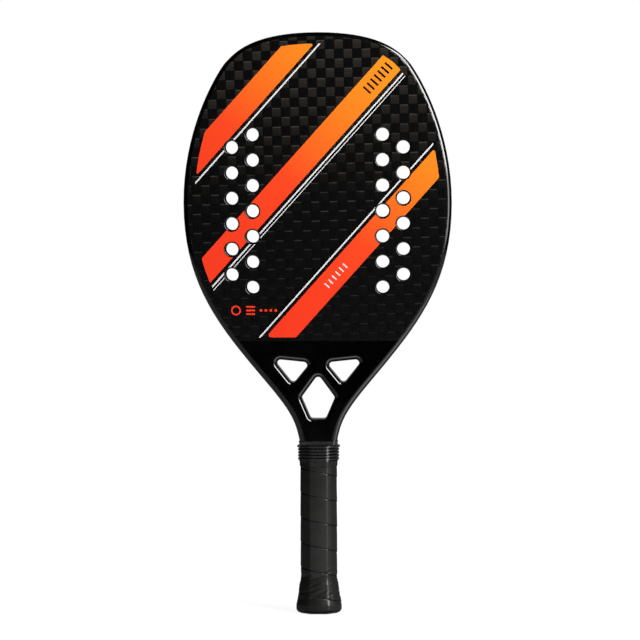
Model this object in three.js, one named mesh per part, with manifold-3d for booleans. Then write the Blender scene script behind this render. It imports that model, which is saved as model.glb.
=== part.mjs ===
// A beach tennis racket, made as the pieces that it comes apart into on a bench.
// Units are millimetres. +Z runs from the butt to the tip and the front face looks along -Y.
// The origin is the centre of the butt's flat end, on which the racket can stand.

import * as THREE from 'three';
import { mergeVertices } from 'three/addons/utils/BufferGeometryUtils.js';
import Module from 'manifold-3d';

const wasm = await Module();
wasm.setup();

// The whole racket, whose heights stack up from the handle's top to the neck, waist and tip
const racketLength = 500;
const headWidth = 230.2;
const headThickness = 22;
const waistWidth = 84.8;
const throatHeight = 48.1;
const neckRise = 11.7;
const neckSwell = 4.15;
const handleTop = 137.5;
const handleWidth = 28.1;
const handleDepth = 25.4;
const handleBevel = 6.95;
const handleCornerRadius = 2;

// The edge's course, as slopes and as shares of the stretch that it crosses
const widestShare = 0.5183;
const shoulderSlope = THREE.MathUtils.degToRad(46.9);
const waistSlope = THREE.MathUtils.degToRad(50.15);
const neckSlope = THREE.MathUtils.degToRad(78.65);
const tipPullShare = 0.495;
const shoulderAcrossShare = 0.685;
const shoulderUpShare = 0.822;
const shoulderInShare = 0.076;
const shoulderOutShare = 0.034;
const crownPullShare = 0.471;
const bowPullShare = 0.463;
const waistInShare = 0.404;
const waistOutShare = 0.647;
const neckInShare = 0.341;
const rootPullShare = 0.35;
const crownSteps = 6;
const shoulderSteps = 6;
const bowSteps = 9;
const neckSteps = 5;
const rootSteps = 3;

// Gaps between pieces that are glued, seated or wrapped
const bondGap = 0.3;
const seatGap = 0.3;
const wrapGap = 0.2;
const overrun = 2;

// The frame tube and the skins let into it
const frameWidth = 10;
const frameWall = 1.5;
const rimWidth = 6.5;
const edgeRadius = 5.5;
const edgeSteps = 3;
const legCornerRadius = 1.5;
const tubeChamferShare = 0.31;
const skinThickness = 1.2;

// The drilled hitting face
const holeDiameter = 12;
const holePitch = 21.84;
const holeTopMargin = 85;
const holeFootMargin = 43.6;
const holeEdgeMargin = 41;
const holeColumnSpacing = 17.9;
const holeSides = 12;

// The throat: its seam with the face, its windows and their rolled rims. A window's corners
// are shares of the waist's width and of the throat's height, counted from the waist, and
// the lower window's sides and foot stand where the tube's walls leave them their margins.
const seamRise = 38.4;
const lowerSideMargin = 12.9;
const lowerFootMargin = 9.4;
const windowCornerRadius = 3.1;
const windowCornerSteps = 3;
const windowRimRadius = 2.5;
const rimLap = 0.5;
const upperWindowShares = [[0.149, 0.353], [0.256, 0.123], [0.379, 0.395]];
const lowerPointShare = 0.083;
const lowerSideShare = 0.128;
const lowerFootShare = 0.051;

// The handle: foam pallets on the tube's legs, and the moulded butt
const palletDrop = 0.5;
const legTaper = 8.5;
const taperClearance = 0.5;
const buttFloor = 5;
const buttCapHeight = 26;
const buttFlare = 4;
const buttWidestHeight = 8;
const buttRoundHeight = 4.5;
const buttRoundInset = 7;
const buttLedgeHeight = 2.2;
const buttFadeHeight = 6;
const capLipThickness = 1;
const flareBendShare = 0.38;
const capShare = 0.88;
const lipShares = [0, 0.18, 0.5, 1];
const capRiseShares = [0, 0.097, 0.244, 0.37, 0.58, 0.79, 1];

// The grip: one tape wound from the butt upwards, its end tape and the rubber collar
const tapeThickness = 1.6;
const tapePitch = 21.6;
const seamGap = 0.7;
const seamSkive = 0.5;
const seamStep = 0.35;
const tapeEndWidth = 3;
const tapeDrop = 0.5;
const tapeStartIndex = 3;
const tapeLevelShares = [0, 0.13, 0.4, 0.7, 1];
const endTapeThickness = 0.25;
const endTapeGap = 0.15;
const endTapeDrop = 10;
const endTapeWidth = 11.5;
const collarDrop = 5.5;
const collarLipHeight = 3.2;
const collarLipWall = 0.4;
const collarGrooveWall = 0.6;
const collarRibHeight = 0.5;
const collarTopRibHeight = 1.3;
const collarRibCount = 5;
const collarFirstRib = 1.9;
const collarTopGroove = 1.3;
const collarBoreShare = 0.53;

// The printed bands on both faces
const bandWidth = 19.5;
const bandThickness = 0.15;
const bandGap = 0.1;
const bandMargin = 3;
const bandHoleMargin = 0.4;
const bandSlope = THREE.MathUtils.degToRad(48);
const bandCornerRadius = 3;
const bandCornerSteps = 3;
const sharpTurnShare = 0.19;
const bandMiddleShare = 0.511;
const bandShares = { upper: 0.3436, middle: 0.1123, lower: -0.1718 };

// Places that follow from the sizes above
const halfWidth = headWidth / 2;
const halfThickness = headThickness / 2;
const neckHeight = handleTop + neckRise;
const neckWidth = handleWidth + neckSwell;
const waistHeight = neckHeight + throatHeight;
const headHeight = racketLength - waistHeight;
const widestHeight = waistHeight + headHeight * widestShare;
const coreHalf = halfThickness - skinThickness - bondGap;
const seamHeight = waistHeight + seamRise;
const legHalfDepth = handleDepth / 2 - handleBevel;
const palletTop = handleTop - palletDrop;
const taperBottom = palletTop + taperClearance;
const taperTop = taperBottom + legTaper;
const legFoot = buttFloor + seatGap;
const tapeBottom = buttLedgeHeight + wrapGap;
const tapeTop = handleTop - tapeDrop;
const tapeOuter = wrapGap + tapeThickness;
const endTapeInner = tapeOuter + endTapeGap;
const endTapeOuter = endTapeInner + endTapeThickness;
const collarBottom = handleTop - collarDrop;
const collarBore = endTapeOuter + wrapGap;
const collarLipBottom = neckHeight - collarLipHeight;

// Finishes
const finishes = {
  carbonWeave: { color: 0x24221f, roughness: 0.45, metalness: 0.1 },
  glossBlack: { color: 0x080808, roughness: 0.12, metalness: 0 },
  blackFoam: { color: 0x1b1b1c, roughness: 0.95, metalness: 0 },
  paleFoam: { color: 0xd8cfae, roughness: 0.95, metalness: 0 },
  mouldedPlastic: { color: 0x161616, roughness: 0.5, metalness: 0 },
  gripTape: { color: 0x222221, roughness: 0.7, metalness: 0 },
  endTape: { color: 0x101010, roughness: 0.4, metalness: 0 },
  rubber: { color: 0x1a1a1a, roughness: 0.6, metalness: 0 },
  orangePrint: { color: 0xfb6a26, roughness: 0.35, metalness: 0 },
};

// Solids

function solidFrom(geometry) {
  const bare = new THREE.BufferGeometry();
  bare.setAttribute('position', geometry.getAttribute('position'));
  bare.setIndex(geometry.index);
  const merged = mergeVertices(bare);
  const vertProperties = Float32Array.from(merged.getAttribute('position').array);
  const triVerts = Uint32Array.from(merged.index.array);
  return new wasm.Manifold(new wasm.Mesh({ numProp: 3, vertProperties, triVerts }));
}

function geometryFrom(solid) {
  const mesh = solid.getMesh();
  const geometry = new THREE.BufferGeometry();
  geometry.setAttribute('position', new THREE.BufferAttribute(mesh.vertProperties, mesh.numProp));
  geometry.setIndex(new THREE.BufferAttribute(mesh.triVerts, 1));
  return geometry;
}

function signedVolume(points, faces) {
  return faces.reduce((sum, [a, b, c]) => {
    const cross = new THREE.Vector3().crossVectors(points[b], points[c]);
    return sum + points[a].dot(cross);
  }, 0);
}

// The two ends of a loft are closed by the triangles of its outline, turned the outline's way
function capFaces(outline) {
  const way = Math.sign(THREE.ShapeUtils.area(outline));
  return THREE.ShapeUtils.triangulateShape(outline, []).map(([a, b, c]) => {
    const area = THREE.ShapeUtils.area([outline[a], outline[b], outline[c]]);
    return Math.sign(area) === way ? [a, b, c] : [a, c, b];
  });
}

// Joins rings of points one after another. With an outline its ends are capped,
// and without one the last ring joins the first.
function loft(rings, outline) {
  const sides = rings[0].length;
  const faces = [];
  const spans = outline ? rings.length - 1 : rings.length;
  for (let ring = 0; ring < spans; ring += 1) {
    const near = ring * sides;
    const far = ((ring + 1) % rings.length) * sides;
    for (let side = 0; side < sides; side += 1) {
      const next = (side + 1) % sides;
      faces.push([near + side, near + next, far + next]);
      faces.push([near + side, far + next, far + side]);
    }
  }
  if (outline) {
    const last = (rings.length - 1) * sides;
    for (const [a, b, c] of capFaces(outline)) {
      faces.push([a, c, b]);
      faces.push([last + a, last + b, last + c]);
    }
  }
  const points = rings.flat();
  const inward = signedVolume(points, faces) < 0;
  const geometry = new THREE.BufferGeometry().setFromPoints(points);
  geometry.setIndex(faces.flatMap(([a, b, c]) => (inward ? [a, c, b] : [a, b, c])));
  return geometry;
}

// A flat plate whose outline lies in the racket's plane, from one depth to another
function plate(outline, openings, front, back) {
  const shape = new THREE.Shape(outline);
  shape.holes = openings.map((opening) => new THREE.Path(opening));
  const geometry = new THREE.ExtrudeGeometry(shape, { depth: back - front, bevelEnabled: false });
  geometry.rotateX(Math.PI / 2);
  geometry.translate(0, back, 0);
  return geometry;
}

// Outlines

// Keeps the side of a polygon where the distance along the direction is at most the limit
function clipOutline(outline, direction, limit) {
  const kept = [];
  outline.forEach((point, index) => {
    const next = outline[(index + 1) % outline.length];
    const here = point.dot(direction) - limit;
    const there = next.dot(direction) - limit;
    if (here <= 0) {
      kept.push(point);
    }
    if (here * there < 0) {
      kept.push(point.clone().lerp(next, here / (here - there)));
    }
  });
  return kept;
}

// A polygon with round corners: arcs of one radius about the given centres, counter-clockwise
function roundOutline(centres, radius, steps) {
  return centres.flatMap((centre, index) => {
    const before = centres[(index + centres.length - 1) % centres.length];
    const after = centres[(index + 1) % centres.length];
    const start = Math.atan2(before.x - centre.x, centre.y - before.y);
    const end = Math.atan2(centre.x - after.x, after.y - centre.y);
    const turn = THREE.MathUtils.euclideanModulo(end - start, 2 * Math.PI);
    return Array.from({ length: steps + 1 }, (unused, step) => {
      const angle = start + (turn * step) / steps;
      return new THREE.Vector2(centre.x + radius * Math.cos(angle), centre.y + radius * Math.sin(angle));
    });
  });
}

// Rounds a polygon's sharp corners, each as far as half of its shorter side allows. A corner
// is sharp where its turn is more than the named share of a half turn.
function softenCorners(outline, radius, steps) {
  return outline.flatMap((corner, index) => {
    const before = outline[(index + outline.length - 1) % outline.length].clone().sub(corner);
    const after = outline[(index + 1) % outline.length].clone().sub(corner);
    const turn = Math.PI - before.angleTo(after);
    if (turn < Math.PI * sharpTurnShare) {
      return [corner];
    }
    const reach = Math.min(radius * Math.tan(turn / 2), before.length() / 2, after.length() / 2);
    const start = corner.clone().add(before.setLength(reach));
    const end = corner.clone().add(after.setLength(reach));
    const curve = new THREE.QuadraticBezierCurve(start, corner, end);
    return curve.getPoints(steps);
  });
}

function halfOutlineCurves() {
  const crown = racketLength - widestHeight;
  const bow = widestHeight - waistHeight;
  const downShoulder = new THREE.Vector2(Math.cos(shoulderSlope), -Math.sin(shoulderSlope));
  const downWaist = new THREE.Vector2(-Math.cos(waistSlope), -Math.sin(waistSlope));
  const downNeck = new THREE.Vector2(-Math.cos(neckSlope), -Math.sin(neckSlope));
  const tip = new THREE.Vector2(0, racketLength);
  const tipPull = new THREE.Vector2(halfWidth * tipPullShare, racketLength);
  const shoulderHeight = widestHeight + crown * shoulderUpShare;
  const shoulder = new THREE.Vector2(halfWidth * shoulderAcrossShare, shoulderHeight);
  const shoulderIn = shoulder.clone().addScaledVector(downShoulder, -crown * shoulderInShare);
  const shoulderOut = shoulder.clone().addScaledVector(downShoulder, crown * shoulderOutShare);
  const widest = new THREE.Vector2(halfWidth, widestHeight);
  const crownPull = new THREE.Vector2(halfWidth, widestHeight + crown * crownPullShare);
  const bowPull = new THREE.Vector2(halfWidth, widestHeight - bow * bowPullShare);
  const waist = new THREE.Vector2(waistWidth / 2, waistHeight);
  const waistIn = waist.clone().addScaledVector(downWaist, -bow * waistInShare);
  const waistOut = waist.clone().addScaledVector(downWaist, throatHeight * waistOutShare);
  const throat = new THREE.Vector2(neckWidth / 2, neckHeight);
  const throatIn = throat.clone().addScaledVector(downNeck, -throatHeight * neckInShare);
  const throatOut = throat.clone().addScaledVector(downNeck, neckRise * rootPullShare);
  const shaft = new THREE.Vector2(handleWidth / 2, handleTop);
  const shaftIn = new THREE.Vector2(handleWidth / 2, handleTop + neckRise * rootPullShare);
  return [
    { curve: new THREE.CubicBezierCurve(tip, tipPull, shoulderIn, shoulder), steps: crownSteps },
    { curve: new THREE.CubicBezierCurve(shoulder, shoulderOut, crownPull, widest), steps: shoulderSteps },
    { curve: new THREE.CubicBezierCurve(widest, bowPull, waistIn, waist), steps: bowSteps },
    { curve: new THREE.CubicBezierCurve(waist, waistOut, throatIn, throat), steps: neckSteps },
    { curve: new THREE.CubicBezierCurve(throat, throatOut, shaftIn, shaft), steps: rootSteps },
    { curve: new THREE.LineCurve(shaft, new THREE.Vector2(handleWidth / 2, legFoot)), steps: 1 },
  ];
}

// A station is a place on the edge with the direction that points out of the racket there
function stationOn(curve, share) {
  const tangent = curve.getTangent(share);
  return { place: curve.getPoint(share), outward: new THREE.Vector2(-tangent.y, tangent.x) };
}

function stationAt(stations, height) {
  const index = stations.findIndex((station) => station.place.y <= height);
  const above = stations[index - 1];
  const below = stations[index];
  const share = (above.place.y - height) / (above.place.y - below.place.y);
  return {
    place: above.place.clone().lerp(below.place, share),
    outward: above.outward.clone().lerp(below.outward, share).normalize(),
  };
}

function rightStations() {
  const stations = [{ place: new THREE.Vector2(0, racketLength), outward: new THREE.Vector2(0, 1) }];
  for (const { curve, steps } of halfOutlineCurves()) {
    for (let step = 1; step <= steps; step += 1) {
      stations.push(stationOn(curve, step / steps));
    }
  }
  for (const height of [taperTop, taperBottom]) {
    stations.push(stationAt(stations, height));
    stations.sort((a, b) => b.place.y - a.place.y);
  }
  return stations;
}

function mirrored({ place, outward }) {
  return {
    place: new THREE.Vector2(-place.x, place.y),
    outward: new THREE.Vector2(-outward.x, outward.y),
  };
}

const rightSide = rightStations();
const edgeStations = [...rightSide.toReversed(), ...rightSide.slice(1).map(mirrored)];

function edgeHalfWidth(height) {
  return stationAt(rightSide, height).place.x;
}

// The racket's outline drawn in by an inset, between two heights
function panelOutline(inset, lowest, highest) {
  const whole = edgeStations.map(({ place, outward }) => place.clone().addScaledVector(outward, -inset));
  const topped = clipOutline(whole, new THREE.Vector2(0, 1), highest);
  return clipOutline(topped, new THREE.Vector2(0, -1), -lowest);
}

// Holes and windows

function holeColumn(offset, count) {
  const middleRow = (count - 1) / 2;
  const middle = (seamHeight + holeFootMargin + racketLength - holeTopMargin) / 2;
  return Array.from({ length: count }, (unused, row) => {
    return new THREE.Vector2(offset, middle + (row - middleRow) * holePitch);
  });
}

// The inner column has as many holes as fit, and the outer one lies between its rows
function holePattern() {
  const room = racketLength - holeTopMargin - seamHeight - holeFootMargin;
  const count = Math.floor(room / holePitch) + 1;
  const outer = halfWidth - holeEdgeMargin;
  const inner = outer - holeColumnSpacing;
  return [-1, 1].flatMap((side) => [
    ...holeColumn(side * inner, count),
    ...holeColumn(side * outer, count - 1),
  ]);
}

const holeCentres = holePattern();

function circleOutline(centre, radius) {
  return Array.from({ length: holeSides }, (unused, side) => {
    const angle = (2 * Math.PI * side) / holeSides;
    return new THREE.Vector2(centre.x + radius * Math.cos(angle), centre.y + radius * Math.sin(angle));
  });
}

// The height between waist and neck at which the edge is this far from the middle
function throatHeightAt(halfAcross) {
  const index = rightSide.findIndex(({ place }) => place.y < waistHeight && place.x <= halfAcross);
  const above = rightSide[index - 1].place;
  const below = rightSide[index].place;
  return THREE.MathUtils.mapLinear(halfAcross, below.x, above.x, below.y, above.y);
}

function upperWindow(side) {
  const centres = upperWindowShares.map(([across, up]) => {
    return new THREE.Vector2(side * waistWidth * across, waistHeight + throatHeight * up);
  });
  return side > 0 ? centres : centres.toReversed();
}

function lowerWindow() {
  const point = new THREE.Vector2(0, waistHeight + throatHeight * lowerPointShare);
  const halfSide = waistWidth * lowerSideShare;
  const halfFoot = waistWidth * lowerFootShare;
  const sideHeight = throatHeightAt(frameWidth + lowerSideMargin + halfSide);
  const footHeight = throatHeightAt(frameWidth + lowerFootMargin + halfFoot);
  return [
    point,
    new THREE.Vector2(-halfSide, sideHeight),
    new THREE.Vector2(-halfFoot, footHeight),
    new THREE.Vector2(halfFoot, footHeight),
    new THREE.Vector2(halfSide, sideHeight),
  ];
}

const windows = [upperWindow(1), upperWindow(-1), lowerWindow()];

function windowOutline(centres, spread) {
  return roundOutline(centres, windowCornerRadius + spread, windowCornerSteps);
}

// Head and frame

// The tube keeps the head's thickness down to the neck and thins to the legs in the handle
function legShare(height) {
  return THREE.MathUtils.clamp((taperTop - height) / legTaper, 0, 1);
}

// The tube's outer section, as inset from the edge and depth, with a rebate for each skin
function frameSection(height) {
  const half = THREE.MathUtils.lerp(halfThickness, legHalfDepth, legShare(height));
  const radius = THREE.MathUtils.lerp(edgeRadius, legCornerRadius, legShare(height));
  const rebate = half - skinThickness - bondGap;
  const front = [new THREE.Vector2(frameWidth, -rebate), new THREE.Vector2(rimWidth, -rebate)];
  front.push(new THREE.Vector2(rimWidth, -half));
  for (let step = 0; step <= edgeSteps; step += 1) {
    const angle = (Math.PI / 2) * (step / edgeSteps);
    front.push(new THREE.Vector2(radius * (1 - Math.sin(angle)), -half + radius * (1 - Math.cos(angle))));
  }
  const back = front.toReversed().map((point) => new THREE.Vector2(point.x, -point.y));
  return [...front, ...back];
}

function cavitySection(height) {
  const half = THREE.MathUtils.lerp(halfThickness, legHalfDepth, legShare(height));
  const reach = half - skinThickness - bondGap - frameWall;
  const chamfer = reach * tubeChamferShare;
  return [
    new THREE.Vector2(frameWidth - frameWall, -reach),
    new THREE.Vector2(frameWall + chamfer, -reach),
    new THREE.Vector2(frameWall, chamfer - reach),
    new THREE.Vector2(frameWall, reach - chamfer),
    new THREE.Vector2(frameWall + chamfer, reach),
    new THREE.Vector2(frameWidth - frameWall, reach),
  ];
}

function sweepAlongEdge(sectionAt, extension) {
  const last = edgeStations.length - 1;
  const rings = edgeStations.map(({ place, outward }, index) => {
    const drop = index === 0 || index === last ? extension : 0;
    return sectionAt(place.y).map(({ x: inset, y: depth }) => {
      const point = place.clone().addScaledVector(outward, -inset);
      return new THREE.Vector3(point.x, depth, point.y - drop);
    });
  });
  return loft(rings, sectionAt(legFoot));
}

function frameTube() {
  const outside = solidFrom(sweepAlongEdge(frameSection, 0));
  const cavity = solidFrom(sweepAlongEdge(cavitySection, overrun));
  return geometryFrom(outside.subtract(cavity));
}

function faceSkin() {
  const outline = panelOutline(rimWidth + seatGap, seamHeight + seatGap / 2, racketLength);
  const holes = holeCentres.map((centre) => circleOutline(centre, holeDiameter / 2));
  return plate(outline, holes, -halfThickness, skinThickness - halfThickness);
}

function faceCore() {
  const outline = panelOutline(frameWidth + seatGap, seamHeight + seatGap / 2, racketLength);
  const holes = holeCentres.map((centre) => circleOutline(centre, holeDiameter / 2));
  return plate(outline, holes, -coreHalf, coreHalf);
}

// Throat

function throatCore() {
  const outline = panelOutline(frameWidth + seatGap, taperTop, seamHeight - seatGap / 2);
  const openings = windows.map((centres) => windowOutline(centres, windowRimRadius + wrapGap));
  return plate(outline, openings, -coreHalf, coreHalf);
}

// A window's rim rolls from the skin's face into the opening and runs in to the middle
function windowRim(centres) {
  const inner = windowRimRadius - skinThickness;
  const slant = Math.SQRT1_2;
  const section = [
    [0, halfThickness - bondGap / 2],
    [0, windowRimRadius],
    [windowRimRadius * (1 - slant), windowRimRadius * (1 - slant)],
    [windowRimRadius, 0],
    [windowRimRadius + rimLap, 0],
    [windowRimRadius + rimLap, skinThickness],
    [windowRimRadius, skinThickness],
    [windowRimRadius - inner * slant, windowRimRadius - inner * slant],
    [skinThickness, windowRimRadius],
    [skinThickness, halfThickness - bondGap / 2],
  ];
  const rings = section.map(([spread, depth]) => {
    return windowOutline(centres, spread).map((point) => {
      return new THREE.Vector3(point.x, depth - halfThickness, point.y);
    });
  });
  return loft(rings);
}

function throatSkin() {
  const outline = panelOutline(rimWidth + seatGap, taperTop, seamHeight - seatGap / 2);
  const openings = windows.map((centres) => windowOutline(centres, windowRimRadius));
  let skin = solidFrom(plate(outline, openings, -halfThickness, skinThickness - halfThickness));
  for (const centres of windows) {
    skin = skin.add(solidFrom(windowRim(centres)));
  }
  return geometryFrom(skin);
}

// Handle

// An eight-sided ring with cut corners, counter-clockwise from the right-hand side
function eightSided(halfAcross, halfDeep, bevel, cornerRadius) {
  const corners = [
    [halfAcross, halfDeep - bevel],
    [halfAcross - bevel, halfDeep],
    [bevel - halfAcross, halfDeep],
    [-halfAcross, halfDeep - bevel],
    [-halfAcross, bevel - halfDeep],
    [bevel - halfAcross, -halfDeep],
    [halfAcross - bevel, -halfDeep],
    [halfAcross, bevel - halfDeep],
  ].map(([x, y]) => new THREE.Vector2(x, y));
  const reach = cornerRadius * Math.tan(Math.PI / corners.length);
  return corners.flatMap((corner, index) => {
    const before = corners[(index + corners.length - 1) % corners.length].clone().sub(corner);
    const after = corners[(index + 1) % corners.length].clone().sub(corner);
    return [before, after].map((side) => corner.clone().add(side.setLength(reach)));
  });
}

// The bare handle's ring, grown outwards all round
function handleRing(growth) {
  const bevelGrowth = growth * (2 - Math.SQRT2);
  const halfAcross = handleWidth / 2 + growth;
  const halfDeep = handleDepth / 2 + growth;
  return eightSided(halfAcross, halfDeep, handleBevel + bevelGrowth, handleCornerRadius + growth);
}

function lifted(ring, height) {
  return ring.map((point) => new THREE.Vector3(point.x, point.y, height));
}

function handlePallet() {
  const innerFace = legHalfDepth + bondGap;
  const outline = clipOutline(handleRing(0), new THREE.Vector2(0, 1), -innerFace);
  const depth = palletTop - legFoot;
  const geometry = new THREE.ExtrudeGeometry(new THREE.Shape(outline), { depth, bevelEnabled: false });
  geometry.translate(0, 0, legFoot);
  return geometry;
}

function handleWeb() {
  const outline = panelOutline(frameWidth + seatGap, legFoot, taperTop - bondGap);
  return plate(outline, [], -legHalfDepth, legHalfDepth);
}

// How far the butt swells beyond the plain grip at a height
function buttSwell(height) {
  if (height < buttRoundHeight) {
    const share = (buttRoundHeight - height) / buttRoundHeight;
    return buttFlare - buttRoundInset * (1 - Math.sqrt(1 - share * share));
  }
  if (height < buttWidestHeight) {
    return buttFlare;
  }
  if (height < buttCapHeight) {
    const share = (buttCapHeight - height) / (buttCapHeight - buttWidestHeight);
    const bent = share * (1 - flareBendShare * (1 - share));
    return capLipThickness + (buttFlare - capLipThickness) * bent;
  }
  const fade = THREE.MathUtils.clamp((height - buttCapHeight) / buttFadeHeight, 0, 1);
  return capLipThickness * (1 - fade) ** 2;
}

function buttCap() {
  const lip = lipShares.map((share) => {
    const height = buttLedgeHeight * share;
    return lifted(handleRing(tapeOuter + buttSwell(height)), height);
  });
  const wall = capRiseShares.map((share) => {
    const height = THREE.MathUtils.lerp(buttLedgeHeight, buttCapHeight, share);
    return lifted(handleRing(capShare * buttSwell(height)), height);
  });
  const pocket = [buttCapHeight, buttFloor].map((height) => lifted(handleRing(wrapGap), height));
  return loft([...lip, ...wall, ...pocket], handleRing(0));
}

// Grip

// The share of a turn that lies between the start and each corner, walking clockwise
function turnShares(ring, start) {
  const shares = [0];
  for (let step = 1; step <= ring.length; step += 1) {
    const here = ring[(start - step + 2 * ring.length) % ring.length];
    const before = ring[(start - step + 1 + 2 * ring.length) % ring.length];
    shares.push(shares[step - 1] + here.distanceTo(before));
  }
  return shares.map((length) => length / shares[ring.length]);
}

function tapeSection(station, bottom, top) {
  const lowSkive = Math.min(seamSkive, (bottom - tapeBottom) / 2);
  const highSkive = Math.min(seamSkive, (tapeTop - top) / 2);
  const inner = tapeLevelShares.map((share) => {
    const skive = THREE.MathUtils.lerp(lowSkive, highSkive, share);
    const height = THREE.MathUtils.lerp(bottom, top, share);
    const corner = handleRing(wrapGap + buttSwell(height))[station];
    return new THREE.Vector3(corner.x, corner.y, height + skive);
  });
  const outer = tapeLevelShares.map((share) => {
    const skive = THREE.MathUtils.lerp(lowSkive, highSkive, share);
    const height = THREE.MathUtils.lerp(bottom, top, share);
    const corner = handleRing(tapeOuter - seamStep * share + buttSwell(height))[station];
    return new THREE.Vector3(corner.x, corner.y, height - skive);
  });
  return [...inner, ...outer.toReversed()];
}

// The tape starts as a point on the butt's ledge, climbs by its pitch each turn, and is
// trimmed level at the top
function tapeRings() {
  const ring = handleRing(tapeOuter);
  const shares = turnShares(ring, tapeStartIndex);
  const rings = [];
  for (let step = 0; ; step += 1) {
    const turns = Math.floor(step / ring.length) + shares[step % ring.length];
    const climbed = tapeBottom + tapeEndWidth + tapePitch * turns;
    const bottom = Math.max(tapeBottom, climbed - tapePitch + seamGap);
    if (bottom > tapeTop - tapeEndWidth) {
      return rings;
    }
    const station = THREE.MathUtils.euclideanModulo(tapeStartIndex - step, ring.length);
    rings.push(tapeSection(station, bottom, Math.min(tapeTop, climbed)));
  }
}

// The least distance between the top edge of one turn and the bottom edge of the next
function leastSeamGap(rings) {
  const sides = handleRing(0).length;
  const levels = tapeLevelShares.length;
  let least = Infinity;
  for (let index = 0; index + sides < rings.length; index += 1) {
    const lower = rings[index];
    const upper = rings[index + sides];
    const topEdge = new THREE.Line3(lower[levels - 1], lower[levels]);
    const bottomEdge = new THREE.Line3(upper[0], upper[upper.length - 1]);
    for (const [edge, other] of [[topEdge, bottomEdge], [bottomEdge, topEdge]]) {
      for (const point of [other.start, other.end, other.getCenter(new THREE.Vector3())]) {
        const nearest = edge.closestPointToPoint(point, true, new THREE.Vector3());
        least = Math.min(least, nearest.distanceTo(point));
      }
    }
  }
  return least;
}

function gripTape() {
  const rings = tapeRings();
  console.log(`Grip tape, least gap to itself: ${leastSeamGap(rings).toFixed(2)} mm`);
  const outline = tapeLevelShares.map((share) => new THREE.Vector2(0, share));
  const back = tapeLevelShares.toReversed().map((share) => new THREE.Vector2(1, share));
  return loft(rings, [...outline, ...back]);
}

function endTape() {
  const bottom = handleTop - endTapeDrop;
  const top = bottom + endTapeWidth;
  return loft([
    lifted(handleRing(endTapeOuter), bottom),
    lifted(handleRing(endTapeOuter), top),
    lifted(handleRing(endTapeInner), top),
    lifted(handleRing(endTapeInner), bottom),
  ]);
}

// The collar's lip follows the neck, which is flatter and squarer than the grip
function neckRing(growth, height) {
  const halfAcross = edgeHalfWidth(height) + growth;
  const bevel = (edgeRadius + growth) * (2 - Math.SQRT2);
  return eightSided(halfAcross, halfThickness + growth, bevel, handleCornerRadius);
}

function gripCollar() {
  const boreTop = THREE.MathUtils.lerp(collarBottom, neckHeight, collarBoreShare);
  const groove = collarBore + collarGrooveWall;
  const room = collarLipBottom - collarTopGroove - collarBottom - collarFirstRib;
  const pitch = room / (collarRibCount - 1);
  const outside = [lifted(handleRing(groove), collarBottom)];
  for (let rib = 0; rib < collarRibCount; rib += 1) {
    const isTop = rib === collarRibCount - 1;
    const height = collarBottom + collarFirstRib + rib * pitch;
    outside.push(lifted(handleRing(groove + (isTop ? collarTopRibHeight : collarRibHeight)), height));
    if (!isTop) {
      outside.push(lifted(handleRing(groove), height + pitch / 2));
    }
  }
  return loft([
    ...outside,
    lifted(neckRing(wrapGap + collarLipWall, collarLipBottom), collarLipBottom),
    lifted(neckRing(wrapGap + collarLipWall, neckHeight), neckHeight),
    lifted(neckRing(wrapGap, neckHeight), neckHeight),
    lifted(neckRing(wrapGap, collarLipBottom), collarLipBottom),
    lifted(handleRing(collarBore), boreTop),
    lifted(handleRing(collarBore), collarBottom),
  ]);
}

// Printed bands

function bandOutline(offset) {
  const inset = rimWidth + seatGap + bandMargin;
  const up = new THREE.Vector2(-Math.sin(bandSlope), Math.cos(bandSlope));
  const middleHeight = waistHeight + headHeight * bandMiddleShare;
  const middle = middleHeight * Math.cos(bandSlope) + offset;
  const panel = panelOutline(inset, seamHeight + bandMargin, racketLength);
  const upper = clipOutline(panel, up, middle + bandWidth / 2);
  const strip = clipOutline(upper, up.clone().negate(), bandWidth / 2 - middle);
  return softenCorners(strip, bandCornerRadius, bandCornerSteps);
}

function drill(centre) {
  const radius = holeDiameter / 2 + bandHoleMargin;
  const cylinder = new THREE.CylinderGeometry(radius, radius, headThickness + overrun, holeSides);
  cylinder.translate(centre.x, -halfThickness, centre.y);
  return solidFrom(cylinder);
}

function printedBand(offset) {
  const back = -halfThickness - bandGap;
  let band = solidFrom(plate(bandOutline(offset), [], back - bandThickness, back));
  for (const centre of holeCentres) {
    band = band.subtract(drill(centre));
  }
  return geometryFrom(band);
}

// Assembly

const group = new THREE.Group();

function add(name, geometry, finish) {
  const mesh = new THREE.Mesh(geometry, new THREE.MeshStandardMaterial(finishes[finish]));
  mesh.name = name;
  group.add(mesh);
  return mesh;
}

// The back piece is the front piece turned half round the racket's long axis
function addPair(names, geometry, finish) {
  add(names[0], geometry, finish);
  add(names[1], geometry, finish).rotation.z = Math.PI;
}

add('frame_tube', frameTube(), 'glossBlack');
add('eva_core', faceCore(), 'blackFoam');
addPair(['front_face_skin', 'back_face_skin'], faceSkin(), 'carbonWeave');
add('throat_core', throatCore(), 'paleFoam');
addPair(['front_throat_skin', 'back_throat_skin'], throatSkin(), 'glossBlack');
add('handle_web', handleWeb(), 'paleFoam');
addPair(['front_handle_pallet', 'back_handle_pallet'], handlePallet(), 'paleFoam');
add('butt_cap', buttCap(), 'mouldedPlastic');
add('grip_tape', gripTape(), 'gripTape');
add('grip_end_tape', endTape(), 'endTape');
add('grip_collar', gripCollar(), 'rubber');
for (const [place, share] of Object.entries(bandShares)) {
  const band = printedBand(headHeight * share);
  addPair([`front_${place}_band`, `back_${place}_band`], band, 'orangePrint');
}

export default group;
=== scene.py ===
# %% [markdown]
# # Dressing a beach tennis racket
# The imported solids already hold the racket's sizes. This lesson gives them the surfaces that
# a player sees: woven skins with drilled holes, a lacquered throat with rolled windows,
# printed bands, a wound grip and a ribbed collar. Sizes are in metres. Z runs from the butt
# to the tip and the front face looks along -Y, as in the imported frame.

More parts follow.
